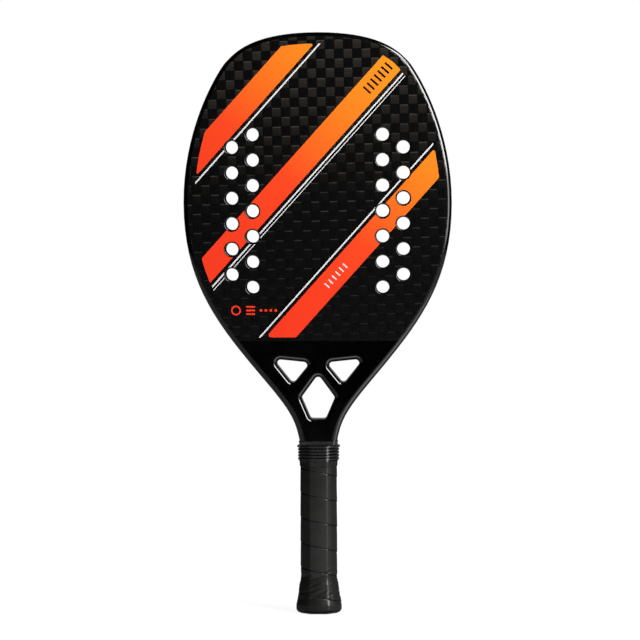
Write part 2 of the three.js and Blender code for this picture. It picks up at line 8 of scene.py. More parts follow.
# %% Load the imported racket
import math

import bmesh
import bpy
from mathutils import Euler, Matrix, Vector, noise
from mathutils.geometry import interpolate_bezier, tessellate_polygon


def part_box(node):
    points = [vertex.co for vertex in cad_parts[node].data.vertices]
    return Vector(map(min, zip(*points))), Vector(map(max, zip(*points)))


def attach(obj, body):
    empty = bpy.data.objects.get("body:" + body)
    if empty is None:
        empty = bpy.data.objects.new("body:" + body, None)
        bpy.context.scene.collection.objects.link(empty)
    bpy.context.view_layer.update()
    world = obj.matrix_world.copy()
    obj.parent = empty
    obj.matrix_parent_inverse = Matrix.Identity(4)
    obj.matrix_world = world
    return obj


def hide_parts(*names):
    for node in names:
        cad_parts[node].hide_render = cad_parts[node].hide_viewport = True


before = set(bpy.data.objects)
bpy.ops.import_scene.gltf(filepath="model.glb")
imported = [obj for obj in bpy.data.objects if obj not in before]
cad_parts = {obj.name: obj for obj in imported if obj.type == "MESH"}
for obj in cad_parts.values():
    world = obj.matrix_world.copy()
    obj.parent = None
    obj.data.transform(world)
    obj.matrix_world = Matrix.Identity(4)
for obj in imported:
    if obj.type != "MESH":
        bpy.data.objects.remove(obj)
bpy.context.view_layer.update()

# %% [markdown]
# ## Sizes
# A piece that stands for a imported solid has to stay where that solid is. So the sizes that a
# solid can tell are read from its box, and only the ones that no box shows are written here.

# %% Sizes read from the solids
half_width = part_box("frame_tube")[1].x
racket_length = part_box("frame_tube")[1].z
leg_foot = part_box("frame_tube")[0].z
half_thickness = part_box("front_face_skin")[0].y * -1
neck_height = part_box("grip_collar")[1].z
collar_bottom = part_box("grip_collar")[0].z
handle_half_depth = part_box("front_handle_pallet")[0].y * -1
pallet_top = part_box("front_handle_pallet")[1].z
seam_height = (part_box("front_face_skin")[0].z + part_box("front_throat_skin")[1].z) / 2
print("Half width", round(half_width, 4), "seam at", round(seam_height, 4))

# %% Sizes written here
waist_width = 0.0848
throat_height = 0.0481
neck_rise = 0.0117
neck_width = 0.03225
half_handle = 0.01405
frame_width = 0.01
face_seam_inset = 0.0052
rim_round_across = 0.0046
rim_round_deep = 0.0038
skin_thickness = 0.0012
hair_gap = 0.00002
handle_top = neck_height - neck_rise
waist_height = neck_height + throat_height
face_front = -half_thickness
print("Waist at", round(waist_height, 4), "handle ends at", round(handle_top, 4))

# %% [markdown]
# ## The edge's course
# The racket's outline is one smooth curve: round over the tip, straight down the shoulders,
# wide at the middle and drawn in to the neck. Bezier curves suit it, because each knot sits
# where a maker would measure. The course is worked out once, for the right half, and mirrored.

# %% The right half of the edge
widest_share = 0.5183
shoulder_slope = math.radians(46.9)
waist_slope = math.radians(50.15)
neck_slope = math.radians(78.65)
tip_pull_share = 0.495
shoulder_shares = (0.685, 0.822)
shoulder_in_share = 0.076
shoulder_out_share = 0.034
crown_pull_share = 0.471
bow_pull_share = 0.463
waist_in_share = 0.404
waist_out_share = 0.647
neck_in_share = 0.341
root_pull_share = 0.35
course_steps = 18


def half_course():
    """Points down the right-hand edge, from the tip to the top of the handle."""
    widest_height = waist_height + (racket_length - waist_height) * widest_share
    crown = racket_length - widest_height
    bow = widest_height - waist_height
    down_shoulder = Vector((math.cos(shoulder_slope), -math.sin(shoulder_slope)))
    down_waist = Vector((-math.cos(waist_slope), -math.sin(waist_slope)))
    down_neck = Vector((-math.cos(neck_slope), -math.sin(neck_slope)))
    tip = Vector((0, racket_length))
    tip_pull = Vector((half_width * tip_pull_share, racket_length))
    across, up = shoulder_shares
    shoulder = Vector((half_width * across, widest_height + crown * up))
    shoulder_in = shoulder - down_shoulder * crown * shoulder_in_share
    shoulder_out = shoulder + down_shoulder * crown * shoulder_out_share
    widest = Vector((half_width, widest_height))
    crown_pull = Vector((half_width, widest_height + crown * crown_pull_share))
    bow_pull = Vector((half_width, widest_height - bow * bow_pull_share))
    waist = Vector((waist_width / 2, waist_height))
    waist_in = waist - down_waist * bow * waist_in_share
    waist_out = waist + down_waist * throat_height * waist_out_share
    neck = Vector((neck_width / 2, neck_height))
    neck_in = neck - down_neck * throat_height * neck_in_share
    neck_out = neck + down_neck * neck_rise * root_pull_share
    shaft = Vector((half_handle, handle_top))
    shaft_in = Vector((half_handle, handle_top + neck_rise * root_pull_share))
    courses = [
        (tip, tip_pull, shoulder_in, shoulder),
        (shoulder, shoulder_out, crown_pull, widest),
        (widest, bow_pull, waist_in, waist),
        (waist, waist_out, neck_in, neck),
        (neck, neck_out, shaft_in, shaft),
    ]
    points = [tip]
    for knots in courses:
        points += [place.to_2d() for place in interpolate_bezier(*knots, course_steps + 1)[1:]]
    return points


def whole_course():
    """The edge from the foot of the left leg over the tip to the foot of the right leg."""
    right = half_course()
    right.append(Vector((half_handle, leg_foot)))
    left = [Vector((-place.x, place.y)) for place in reversed(right[1:])]
    return left + right


edge = whole_course()
print("Edge points:", len(edge))

# %% [markdown]
# Flat panels keep a fixed distance from the edge. Each point of the edge moves inwards along
# its own normal, and the polygon is then cut at the heights where the panel begins and ends.

# %% Outlines drawn in from the edge
def outward_at(index):
    """The direction out of the racket at a point of the edge."""
    before = edge[max(index - 1, 0)]
    after = edge[min(index + 1, len(edge) - 1)]
    along = (after - before).normalized()
    return Vector((-along.y, along.x))


def clipped(outline, direction, limit):
    """Keeps the side of a polygon where the distance along the direction is below the limit."""
    kept = []
    for index, place in enumerate(outline):
        following = outline[(index + 1) % len(outline)]
        here = place.dot(direction) - limit
        there = following.dot(direction) - limit
        if here <= 0:
            kept.append(place)
        if here * there < 0:
            kept.append(place.lerp(following, here / (here - there)))
    return kept


def panel_outline(inset, lowest, highest):
    """The racket's outline drawn in by an inset between two heights, counter-clockwise."""
    drawn_in = [place - outward_at(index) * inset for index, place in enumerate(edge)]
    topped = clipped(drawn_in, Vector((0, 1)), highest)
    return clipped(topped, Vector((0, -1)), -lowest)[::-1]


def round_outline(centres, radius, steps):
    """A polygon with round corners: arcs of one radius about the centres, counter-clockwise."""
    points = []
    for index, centre in enumerate(centres):
        before = centres[index - 1]
        after = centres[(index + 1) % len(centres)]
        start = math.atan2(before.x - centre.x, centre.y - before.y)
        end = math.atan2(centre.x - after.x, after.y - centre.y)
        turn = (end - start) % math.tau
        for step in range(steps + 1):
            angle = start + turn * step / steps
            points.append(centre + radius * Vector((math.cos(angle), math.sin(angle))))
    return points


def quarter_round(steps):
    """A quarter round as shares of its width and its depth that are still to go and gone."""
    angles = [math.pi / 2 * step / steps for step in range(steps + 1)]
    return [(1 - math.sin(angle), 1 - math.cos(angle)) for angle in angles]


face_outline = panel_outline(face_seam_inset + hair_gap, seam_height + hair_gap, racket_length)
print("Face panel points:", len(face_outline))

# %% [markdown]
# ## Finishes
# Each finish is a small network of shader nodes. A helper adds a node, sets its properties and
# feeds its inputs, so that the finish's own code reads like a recipe.

# %% Helpers for node trees
def feed(tree, socket, value):
    """Links an input to another socket, or sets it to a plain value."""
    if isinstance(value, bpy.types.NodeSocket):
        tree.links.new(value, socket)
    else:
        socket.default_value = value


def put(tree, kind, inputs=None, **settings):
    """Adds a node. Its inputs take plain values or sockets."""
    node = tree.nodes.new(kind)
    for name, value in settings.items():
        setattr(node, name, value)
    for name, value in (inputs or {}).items():
        feed(tree, node.inputs[name], value)
    return node


def result(tree, kind, inputs=None, **settings):
    """Adds a node and gives its first output."""
    return put(tree, kind, inputs, **settings).outputs[0]


def work_out(tree, operation, *values, clamp=False):
    """A Math node on one to three values or sockets."""
    inputs = dict(enumerate(values))
    return result(tree, "ShaderNodeMath", inputs, operation=operation, use_clamp=clamp)


def times(tree, *factors):
    """The product of values or sockets."""
    product = factors[0]
    for factor in factors[1:]:
        product = work_out(tree, "MULTIPLY", product, factor)
    return product


def vector_work(tree, operation, *vectors, **inputs):
    """A Vector Math node's result, which is a number for a length or a dot product."""
    node = put(tree, "ShaderNodeVectorMath", dict(enumerate(vectors)) | inputs, operation=operation)
    return node.outputs["Value" if operation in ("LENGTH", "DOT_PRODUCT") else "Vector"]


def vector(tree, **shares):
    """A vector from its X, Y and Z, where those left out are zero."""
    return result(tree, "ShaderNodeCombineXYZ", shares)


def axes(tree, place):
    """The X, Y and Z of a vector."""
    return put(tree, "ShaderNodeSeparateXYZ", {0: place}).outputs


def own_place(tree):
    """The shaded point in the object's own space."""
    return put(tree, "ShaderNodeTexCoord").outputs["Object"]


def ease(tree, value, start, end, low=0.0, high=1.0):
    """Goes smoothly from low to high while the value goes from start to end."""
    limits = {"Value": value, "From Min": start, "From Max": end, "To Min": low, "To Max": high}
    return result(tree, "ShaderNodeMapRange", limits, interpolation_type="SMOOTHSTEP")


def between(tree, share, low, high):
    """A number between two others."""
    return result(tree, "ShaderNodeMix", {0: share, 2: low, 3: high})


def blend(tree, share, low, high):
    """A colour between two others, given as values or sockets."""
    mix = put(tree, "ShaderNodeMix", {"Factor": share}, data_type="RGBA")
    feed(tree, mix.inputs[6], low)
    feed(tree, mix.inputs[7], high)
    return mix.outputs[2]


def tone(red, green, blue):
    """A colour in the 0 to 255 steps of a screen, as linear light by the sRGB curve."""
    linear = [(step / 255 / 12.92) if step <= 10 else ((step / 255 + 0.055) / 1.055) ** 2.4
              for step in (red, green, blue)]
    return (*linear, 1.0)


def grey(step):
    """A neutral colour in the steps of a screen."""
    return tone(step, step, step)


def new_finish(name):
    """A material with its tree and its surface shader."""
    material = bpy.data.materials.new(name)
    material.use_nodes = True
    return material, material.node_tree, material.node_tree.nodes["Principled BSDF"]


def dress(tree, surface, colour, roughness, shine=0.5):
    """Gives a surface its colour, its roughness and how strongly it mirrors."""
    feed(tree, surface.inputs["Base Color"], colour)
    feed(tree, surface.inputs["Roughness"], roughness)
    surface.inputs["Specular IOR Level"].default_value = shine


def grain(tree, scale, detail=3.0, roughness=0.55, stretch=(1, 1, 1)):
    """Even noise in the object's own space, which may be stretched along an axis."""
    scaled = result(tree, "ShaderNodeMapping", {"Vector": own_place(tree), "Scale": stretch})
    inputs = {"Vector": scaled, "Scale": scale, "Detail": detail, "Roughness": roughness}
    return put(tree, "ShaderNodeTexNoise", inputs).outputs["Fac"]


noise_middle = (0.3, 0.7)


def spread(tree, pattern, low=0.0, high=1.0):
    """Spreads the middle of a noise, where nearly all its values lie, from low to high."""
    return ease(tree, pattern, *noise_middle, low, high)


def bumped(tree, surface, height, depth, strength=1.0):
    """Feeds a height in metres to the surface as bump."""
    bump = {"Height": height, "Distance": depth, "Strength": strength}
    tree.links.new(result(tree, "ShaderNodeBump", bump), surface.inputs["Normal"])

# %% [markdown]
# ### Woven carbon
# The skins are carbon cloth with wide flat tows, so the face shows a draughts board. A tow that
# runs across the face throws the studio's light back, and one that runs along it stays dark.
# That light is painted: the board comes from the object's own coordinates, where a whole number
# gives the square and what is left over gives the place in it. The across tows get a painted
# sheen, paler at each square's top and fading down the head, and a painted highlight along
# their top edges. A low bump crowns each tow.

# %% The weave as nodes
square_width = 0.0078
square_height = 0.0081
weave_turn = math.radians(1.3)
weave_corner = (-0.0554, 0, 0.4757)
weave_wander = 0.0005
wander_scale = 28.0
tow_side_edge = (0.01, 0.07)
tow_foot_edge = (0.01, 0.06)
# How the painted sheen and highlight fade down the head and change within each square
sheen_fade = (0.335, 0.5, 0.06, 1.0)
tow_streaks = (0.25, 0.75, 0.6, 1.0)
sheen_slope = (0.0, 1.0, 0.75, 1.1)
glint_fade = (0.24, 0.44, 0.25, 1.0)
glint_foot = (0.84, 0.9)
glint_head = (0.99, 0.96)
glint_sides = (0.03, 0.12)
glint_patches = (0.35, 0.6, 0.35, 1.0)
patch_scale = 60.0
tow_lift = 0.00008
tow_crown = (0.0, 0.35)
tow_bump_strength = 0.6
dark_tow = grey(8)
dark_fibre = tone(17, 16, 16)
dark_fibre_share = 0.35
# The across tows' painted sheen and the painted highlight at their top edges
tow_sheen = tone(46, 42, 38)
tow_glint = tone(64, 60, 55)
fibres_across = (0.06, 1, 1)
fibres_along = (1, 1, 0.06)
fibre_scale = 2200.0
woven_roughness = (0.17, 0.23)


def weave_sockets(tree):
    """The weave's colour, its height and its fibres at a place on the face."""
    place = own_place(tree)
    wander = put(tree, "ShaderNodeTexNoise", {"Vector": place, "Scale": wander_scale, "Detail": 1.0})
    centred = vector_work(tree, "SUBTRACT", wander.outputs["Color"], (0.5, 0.5, 0.5))
    shift = vector_work(tree, "SCALE", centred, Scale=weave_wander)
    board_settings = {"Vector": vector_work(tree, "ADD", place, shift), "Location": weave_corner}
    board_settings |= {"Rotation": (0, -weave_turn, 0), "Scale": (square_width, 1, square_height)}
    board = axes(tree, result(tree, "ShaderNodeMapping", board_settings, vector_type="TEXTURE"))
    across, up = board["X"], board["Z"]
    both = work_out(tree, "ADD", work_out(tree, "FLOOR", across), work_out(tree, "FLOOR", up))
    light = work_out(tree, "SUBTRACT", 1.0, work_out(tree, "FLOORED_MODULO", both, 2.0))
    in_up = work_out(tree, "FRACT", up)
    side_gap = work_out(tree, "PINGPONG", work_out(tree, "FRACT", across), 0.5)
    foot_gap = work_out(tree, "PINGPONG", in_up, 0.5)
    inside = times(tree, ease(tree, side_gap, *tow_side_edge), ease(tree, foot_gap, *tow_foot_edge))
    height_up = axes(tree, place)["Z"]
    fibres = {"detail": 2.0, "roughness": 0.6}
    across_fibres = grain(tree, fibre_scale, stretch=fibres_across, **fibres)
    along_fibres = grain(tree, fibre_scale, stretch=fibres_along, **fibres)
    # Painted sheen: the across tows are paler towards each square's top and fade down the head
    body = times(tree, light, inside, ease(tree, across_fibres, *tow_streaks),
                 ease(tree, in_up, *sheen_slope))
    body = work_out(tree, "MULTIPLY", body, ease(tree, height_up, *sheen_fade), clamp=True)
    # Painted highlight: a bright line along each across tow's top edge, fading down the head
    glint = times(tree, ease(tree, in_up, *glint_foot), ease(tree, in_up, *glint_head),
                  ease(tree, side_gap, *glint_sides), light,
                  ease(tree, grain(tree, patch_scale, detail=2.0), *glint_patches))
    glint = work_out(tree, "MULTIPLY", glint, ease(tree, height_up, *glint_fade), clamp=True)
    ground = blend(tree, spread(tree, along_fibres, 0.0, dark_fibre_share), dark_tow, dark_fibre)
    colour = blend(tree, glint, blend(tree, body, ground, tow_sheen), tow_glint)
    # Both gaps are a half in the middle of a square, so four times their product is one there
    crown = times(tree, side_gap, foot_gap, 4.0)
    crown = times(tree, ease(tree, crown, *tow_crown), tow_lift)
    return colour, crown, between(tree, light, along_fibres, across_fibres)


def woven_carbon():
    """The cloth of the two skins under a thin satin lacquer."""
    material, tree, surface = new_finish("woven_carbon")
    colour, crown, fibres = weave_sockets(tree)
    dress(tree, surface, colour, spread(tree, fibres, *woven_roughness))
    bumped(tree, surface, crown, 1.0, tow_bump_strength)
    return material


woven_finish = woven_carbon()
print("Weave squares:", square_width, "x", square_height)

# %% [markdown]
# ### Lacquer on the frame
# The frame tube and the throat are black gloss. Real lacquer is never a mirror: it has a fine
# ripple, called orange peel, and a few duller patches. On the head the cloth runs out over the
# tube's flat as far as its rounding, so that finish goes from weave to lacquer by its own
# attribute, the distance in from the edge, which the sweep leaves on the tube.

# %% Gloss finishes
peel_scale = 420.0
peel_depth = 0.000004
lacquer_shine = 0.8
weave_end = (0.0033, 0.0036)
dust_scale = 35.0
dust_patches = (0.35, 0.7)
polish_scale = 18.0
throat_roughness = (0.06, 0.11)
edge_roughness = (0.08, 0.14)


def lacquer_sockets(tree, roughness):
    """The lacquer's nearly black colour and its roughness."""
    dusty = ease(tree, grain(tree, dust_scale), *dust_patches)
    return blend(tree, dusty, grey(2), grey(6)), spread(tree, grain(tree, polish_scale), *roughness)


def gloss_black():
    """The lacquer of the throat."""
    material, tree, surface = new_finish("gloss_black")
    dress(tree, surface, *lacquer_sockets(tree, throat_roughness), lacquer_shine)
    bumped(tree, surface, grain(tree, peel_scale, detail=1.0), peel_depth)
    return material


def edge_lacquer():
    """The frame tube's finish: weave on the flat of the head, lacquer outside and below it."""
    material, tree, surface = new_finish("edge_lacquer")
    weave, crown, fibres = weave_sockets(tree)
    black, gloss = lacquer_sockets(tree, edge_roughness)
    inset = put(tree, "ShaderNodeAttribute", attribute_name="inset").outputs["Fac"]
    height_up = axes(tree, own_place(tree))["Z"]
    on_head = ease(tree, height_up, seam_height - hair_gap, seam_height + hair_gap)
    woven = times(tree, ease(tree, inset, *weave_end), on_head)
    roughness = between(tree, woven, gloss, spread(tree, fibres, *woven_roughness))
    dress(tree, surface, blend(tree, woven, black, weave), roughness, lacquer_shine)
    bumped(tree, surface, times(tree, crown, woven), 1.0, tow_bump_strength)
    return material


gloss_finish = gloss_black()
edge_finish = edge_lacquer()
print("Gloss finishes:", gloss_finish.name, edge_finish.name)

# %% [markdown]
# ### Foam, rubber, tape and plastic
# Nearly all of these are black, so only their grain and gloss tell them apart. Foam has open
# pores, the butt cap has the even spark pattern of a moulding tool, and the strip's vinyl and
# the ticks' black ink are smooth. The tape has a fine pebble. The collar's rubber shines. Its
# ribs keep the rubber's own grained tone, and its grooves are painted near black as shade. An
# attribute that its tree leaves tells the finish which is which.

# %% Dull finishes
grain_patches = (0.35, 0.68)
grain_detail = 4.0


def grained(name, dark, pale, scale, depth, roughness, shine=0.5):
    """A finish with one grain that drives its colour, its roughness and its bump."""
    material, tree, surface = new_finish(name)
    pattern = grain(tree, scale, grain_detail)
    colour = blend(tree, ease(tree, pattern, *grain_patches), dark, pale)
    dress(tree, surface, colour, spread(tree, pattern, *roughness), shine)
    bumped(tree, surface, pattern, depth)
    return material


dull_finishes = {
    "black_foam": {"dark": grey(8), "pale": grey(20), "scale": 900.0, "depth": 0.00015,
                   "roughness": (0.85, 0.98), "shine": 0.0},
    "pale_foam": {"dark": tone(196, 186, 150), "pale": tone(222, 212, 180), "scale": 700.0,
                  "depth": 0.0002, "roughness": (0.85, 0.98)},
    "cap_plastic": {"dark": grey(12), "pale": grey(21), "scale": 1600.0, "depth": 0.00003,
                    "roughness": (0.36, 0.46), "shine": 0.4},
    "strip_vinyl": {"dark": tone(26, 26, 25), "pale": tone(33, 32, 31), "scale": 500.0,
                    "depth": 0.00001, "roughness": (0.34, 0.42), "shine": 0.3},
    "black_ink": {"dark": grey(8), "pale": grey(14), "scale": 500.0, "depth": 0.000005,
                  "roughness": (0.2, 0.28)},
}
dull = {name: grained(name, **settings) for name, settings in dull_finishes.items()}
print("Dull finishes:", ", ".join(dull))

# %% Tape and rubber
pebble_scale = 1500.0
worn_scale = 55.0
tape_roughness = (0.36, 0.3)
tape_shine = 0.4
streak_scale = 320.0
streak_stretch = (0.4, 0.4, 1)
streak_share = 2.0
tape_bump_depth = 0.000028
rubber_scale = 700.0
rubber_depth = 0.000003
rubber_shine = 1.0
rib_roughness = (0.23, 0.27)
groove_roughness = 0.1
groove_gloss_end = (0.1, 0.8)
# Painted shade: the grooves go near black by how far a point stands out
groove_shade_span = (0.4, 0.95)


def wound_tape():
    """Cushioned polyurethane: a fine pebble, paler and glossier where the hand has worn it."""
    material, tree, surface = new_finish("wound_tape")
    worn = grain(tree, worn_scale)
    colour = blend(tree, spread(tree, worn), tone(22, 22, 21), tone(30, 29, 28))
    dress(tree, surface, colour, spread(tree, worn, *tape_roughness), tape_shine)
    voronoi = {"Vector": own_place(tree), "Scale": pebble_scale}
    pebble = put(tree, "ShaderNodeTexVoronoi", voronoi).outputs["Distance"]
    streak = times(tree, grain(tree, streak_scale, stretch=streak_stretch), streak_share)
    bumped(tree, surface, work_out(tree, "ADD", pebble, streak), tape_bump_depth)
    return material


def ribbed_rubber():
    """The collar's rubber: its own grained tone on the ribs, and painted shade in its grooves."""
    material, tree, surface = new_finish("ribbed_rubber")
    crest = put(tree, "ShaderNodeAttribute", attribute_name="crest").outputs["Fac"]
    pattern = grain(tree, rubber_scale, grain_detail)
    rib_grain = ease(tree, pattern, *grain_patches)
    rib_grain = blend(tree, rib_grain, tone(25, 25, 24), tone(32, 32, 31))
    # The grooves are painted near black as shade, and the ribs keep the rubber's grained tone
    colour = blend(tree, ease(tree, crest, *groove_shade_span), grey(2), rib_grain)
    on_ribs = spread(tree, pattern, *rib_roughness)
    roughness = ease(tree, crest, *groove_gloss_end, groove_roughness, on_ribs)
    dress(tree, surface, colour, roughness, rubber_shine)
    bumped(tree, surface, pattern, rubber_depth)
    return material


tape_finish = wound_tape()
rubber_finish = ribbed_rubber()
print("Grip finishes:", tape_finish.name, rubber_finish.name)

# %% [markdown]
# ### Printed ink
# The bands are screen printed and glossy. Each runs from red orange at its lower left to a
# yellower orange at its upper right, so one colour ramp along the bands' own direction serves
# all of them.

# %% Ink finishes
band_slope = math.radians(48)
ink_reach = (0.16, 0.44)
ink_stops = ((0.0, tone(255, 62, 34)), (0.3, tone(255, 74, 34)), (0.48, tone(255, 106, 32)),
             (1.0, tone(255, 158, 30)))
speckle_scale = 900.0
speckle_share = 0.94
ink_polish_scale = 40.0
ink_roughness = (0.2, 0.26)
white_scale = 1100.0
white_roughness = (0.34, 0.42)


def orange_ink():
    """Ink that grows yellower along the bands."""
    material, tree, surface = new_finish("orange_ink")
    along = (math.cos(band_slope), 0, math.sin(band_slope))
    run = vector_work(tree, "DOT_PRODUCT", own_place(tree), along)
    ramp = put(tree, "ShaderNodeValToRGB", {"Fac": ease(tree, run, *ink_reach)})
    for share, colour in ink_stops[1:-1]:
        ramp.color_ramp.elements.new(share)
    for stop, (share, colour) in zip(ramp.color_ramp.elements, ink_stops):
        stop.position = share
        stop.color = colour
    speckle = spread(tree, grain(tree, speckle_scale, detail=2.0), speckle_share)
    colour = blend(tree, speckle, tone(214, 52, 24), ramp.outputs["Color"])
    dress(tree, surface, colour, spread(tree, grain(tree, ink_polish_scale), *ink_roughness))
    return material


def white_ink():
    """The thin lines' ink, with the faint unevenness of a screen print."""
    material, tree, surface = new_finish("white_ink")
    pattern = spread(tree, grain(tree, white_scale, detail=2.0))
    roughness = ease(tree, pattern, 0.0, 1.0, *white_roughness)
    dress(tree, surface, blend(tree, pattern, grey(225), grey(240)), roughness)
    return material


orange_finish = orange_ink()
white_finish = white_ink()
print("Inks:", orange_finish.name, white_finish.name)

# %% [markdown]
# ## Helpers for Geometry Nodes
# A tree is built once and run on a seed object. The result is kept as a plain mesh, because
# the export drops instances. A flat piece is drawn lying down, as on a bench, and the tree's
# last steps stand it up.

# %% Seeds, trees and the meshes that they leave
def link(piece):
    """Puts an object in the scene."""
    bpy.context.scene.collection.objects.link(piece)
    return piece


def path_object(name, loops, closed=True):
    """Flat lines drawn on the bench, in one curve object."""
    data = bpy.data.curves.new(name, "CURVE")
    data.dimensions = "3D"
    for loop in loops:
        line = data.splines.new("POLY")
        line.points.add(len(loop) - 1)
        for point, place in zip(line.points, loop):
            point.co = (place.x, place.y, 0, 1)
        line.use_cyclic_u = closed
    return link(bpy.data.objects.new(name, data))


stands = {"Turn": "Rotation", "Place": "Vector"}
sharp_from_degrees = 35
flat_lead = 100


def new_geometry_tree(name, floats, kinds):
    """A geometry tree with named inputs: numbers, and others given with their socket's kind."""
    tree = bpy.data.node_groups.new(name, "GeometryNodeTree")
    inputs = {"Geometry": "Geometry"} | dict.fromkeys(floats, "Float") | kinds
    for label, kind in (inputs | {"Material": "Material"}).items():
        tree.interface.new_socket(label, in_out="INPUT", socket_type="NodeSocket" + kind)
    tree.interface.new_socket("Geometry", in_out="OUTPUT", socket_type="NodeSocketGeometry")
    return tree, tree.nodes.new("NodeGroupInput").outputs


def close_tree(tree, geometry, given):
    """The last steps of every tree: real meshes instead of instances, and their finish."""
    real = result(tree, "GeometryNodeRealizeInstances", {0: geometry})
    dressed = result(tree, "GeometryNodeSetMaterial", {0: real, "Material": given["Material"]})
    put(tree, "NodeGroupOutput", {0: dressed})
    return tree


def grow(name, seed, tree, values):
    """Runs a tree on a seed and keeps the plain mesh. The seed and its helpers are used up."""
    modifier = seed.modifiers.new(tree.name, "NODES")
    modifier.node_group = tree
    for item in tree.interface.items_tree:
        if item.in_out == "INPUT" and item.name in values:
            modifier[item.identifier] = values[item.name]
    graph = bpy.context.evaluated_depsgraph_get()
    mesh = bpy.data.meshes.new_from_object(seed.evaluated_get(graph))
    for used in (seed, *values.values()):
        if isinstance(used, bpy.types.Object):
            bpy.data.objects.remove(used)
    mesh.name = name
    return link(bpy.data.objects.new(name, mesh))


def smoothed(piece, sharp_degrees):
    """Smooth shading with sharp edges."""
    piece.data.shade_smooth()
    piece.data.set_sharp_from_angle(angle=math.radians(sharp_degrees))
    return piece


def shaded(piece, sharp_degrees=sharp_from_degrees):
    """Smooth shading whose normals follow the large flats."""
    smoothed(piece, sharp_degrees)
    weighted = piece.modifiers.new("flat_faces_lead", "WEIGHTED_NORMAL")
    weighted.keep_sharp = True
    weighted.weight = flat_lead
    return piece


def measured(piece):
    """Prints a piece's size, its faces and whether it is closed and faces outwards."""
    shell = bmesh.new()
    shell.from_mesh(piece.data)
    open_edges = sum(1 for side in shell.edges if not side.is_manifold)
    volume = shell.calc_volume(signed=True)
    shell.free()
    size = [round(side * 1000, 1) for side in piece.dimensions]
    print(f"{piece.name}: {size} mm, {len(piece.data.polygons)} faces,", end=" ")
    print(f"{open_edges} open edges, {volume * 1e6:.2f} cm3")
    return piece


def finished(piece, node_slot, *nodes):
    """Joins a piece to the frame's body and hides the solids it stands for; its slot is not used."""
    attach(piece, "root")
    if nodes:
        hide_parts(*nodes)
    return measured(piece)


def joined(tree, *geometries):
    """Puts several geometries together."""
    join = tree.nodes.new("GeometryNodeJoinGeometry")
    for geometry in reversed(geometries):
        tree.links.new(geometry, join.inputs[0])
    return join.outputs[0]


def drawn(tree, path):
    """The geometry of an object that is given to a tree."""
    return put(tree, "GeometryNodeObjectInfo", {"Object": path}).outputs["Geometry"]


def shifted(tree, geometry, **moves):
    """Moves, turns or scales a geometry."""
    return result(tree, "GeometryNodeTransform", {0: geometry} | moves)


def marked(tree, geometry, name, value):
    """Leaves a number on each point of a geometry, under a name that a finish can read."""
    marks = {0: geometry, "Name": name, "Value": value}
    return result(tree, "GeometryNodeStoreNamedAttribute", marks, data_type="FLOAT", domain="POINT")


def swept(tree, path, profile, caps=False):
    """Drags a profile along a flat path. The profile's x points right and its y points down."""
    level = result(tree, "GeometryNodeSetCurveNormal", {0: path}, mode="Z_UP")
    sweep = {"Curve": level, "Profile Curve": profile, "Fill Caps": caps}
    return result(tree, "GeometryNodeCurveToMesh", sweep)


def stood_up(tree, geometry, given):
    """Turns a lying geometry by the tree's Turn and moves it to its Place."""
    return shifted(tree, geometry, Rotation=given["Turn"], Translation=given["Place"])


turns = {"front": (math.pi / 2, 0, 0), "back": (math.pi / 2, 0, math.pi)}
fronts = {"front": face_front, "back": -face_front}
print("Helpers ready")

# %% [markdown]
# ## The frame tube
# One tube of carbon runs up one side of the racket, over the tip and down the other, and both
# its ends are the legs inside the handle. It could be drawn by hand ring by ring. A sweep
# along the edge's course is shorter and keeps the section true. Below the neck the tube is
# pressed flatter to fit between the handle's foam pallets, so the tree squeezes its depth
# there by height.

# %% The tube's section and sweep
round_steps = 12
tube_rebate = skin_thickness + hair_gap
leg_half_depth = 0.00575
leg_taper_top = 0.146


def tube_section():
    """The section as inset from the edge and depth, its front rounding first."""
    front = [Vector((frame_width, tube_rebate - half_thickness))]
    front.append(Vector((face_seam_inset, tube_rebate - half_thickness)))
    front.append(Vector((face_seam_inset, -half_thickness)))
    for across, deep in quarter_round(round_steps):
        front.append(Vector((rim_round_across * across, rim_round_deep * deep - half_thickness)))
    back = [Vector((place.x, -place.y)) for place in reversed(front)]
    return (front + back)[::-1]


def tube_tree():
    """Sweeps the section along the edge, keeps the inset as an attribute and thins the legs."""
    floats = ("Leg Share", "Taper Bottom", "Taper Top")
    tree, given = new_geometry_tree("frame_tube_sweep", floats, {"Section": "Object"} | stands)
    place = result(tree, "GeometryNodeInputPosition")
    parts = axes(tree, place)
    section = marked(tree, drawn(tree, given["Section"]), "inset", parts["X"])
    tube = stood_up(tree, swept(tree, given["Geometry"], section, caps=True), given)
    slimness = {"Value": parts["Z"], "From Min": given["Taper Bottom"], "From Max": given["Taper Top"]}
    slimness["To Min"] = given["Leg Share"]
    depth = times(tree, parts["Y"], result(tree, "ShaderNodeMapRange", slimness))
    slimmed = {0: tube, "Position": vector(tree, X=parts["X"], Y=depth, Z=parts["Z"])}
    return close_tree(tree, result(tree, "GeometryNodeSetPosition", slimmed), given)


tube_values = {"Section": path_object("tube_section", [tube_section()]), "Turn": turns["front"]}
tube_values |= {"Leg Share": leg_half_depth / half_thickness, "Material": edge_finish}
tube_values |= {"Taper Bottom": handle_top, "Taper Top": leg_taper_top}
edge_path = path_object("edge_path", [edge], closed=False)
frame_edge = grow("carbon_frame", edge_path, tube_tree(), tube_values)
finished(shaded(frame_edge), "carbon_weave", "frame_tube")

# %% [markdown]
# ## The drilled face
# Each face is a skin of cloth over foam, with columns of holes drilled through both that let
# the air past. The drill's edge is broken with a small roll, which catches the light. The
# holes repeat, so Geometry Nodes places them: a line of points is a column, a second column
# stands half a pitch higher, and both are mirrored. Circles on the points cut the flat panels
# and a rolled edge is swept round each one. The tree's steps that close a flat outline into a
# slab serve the printed films too.

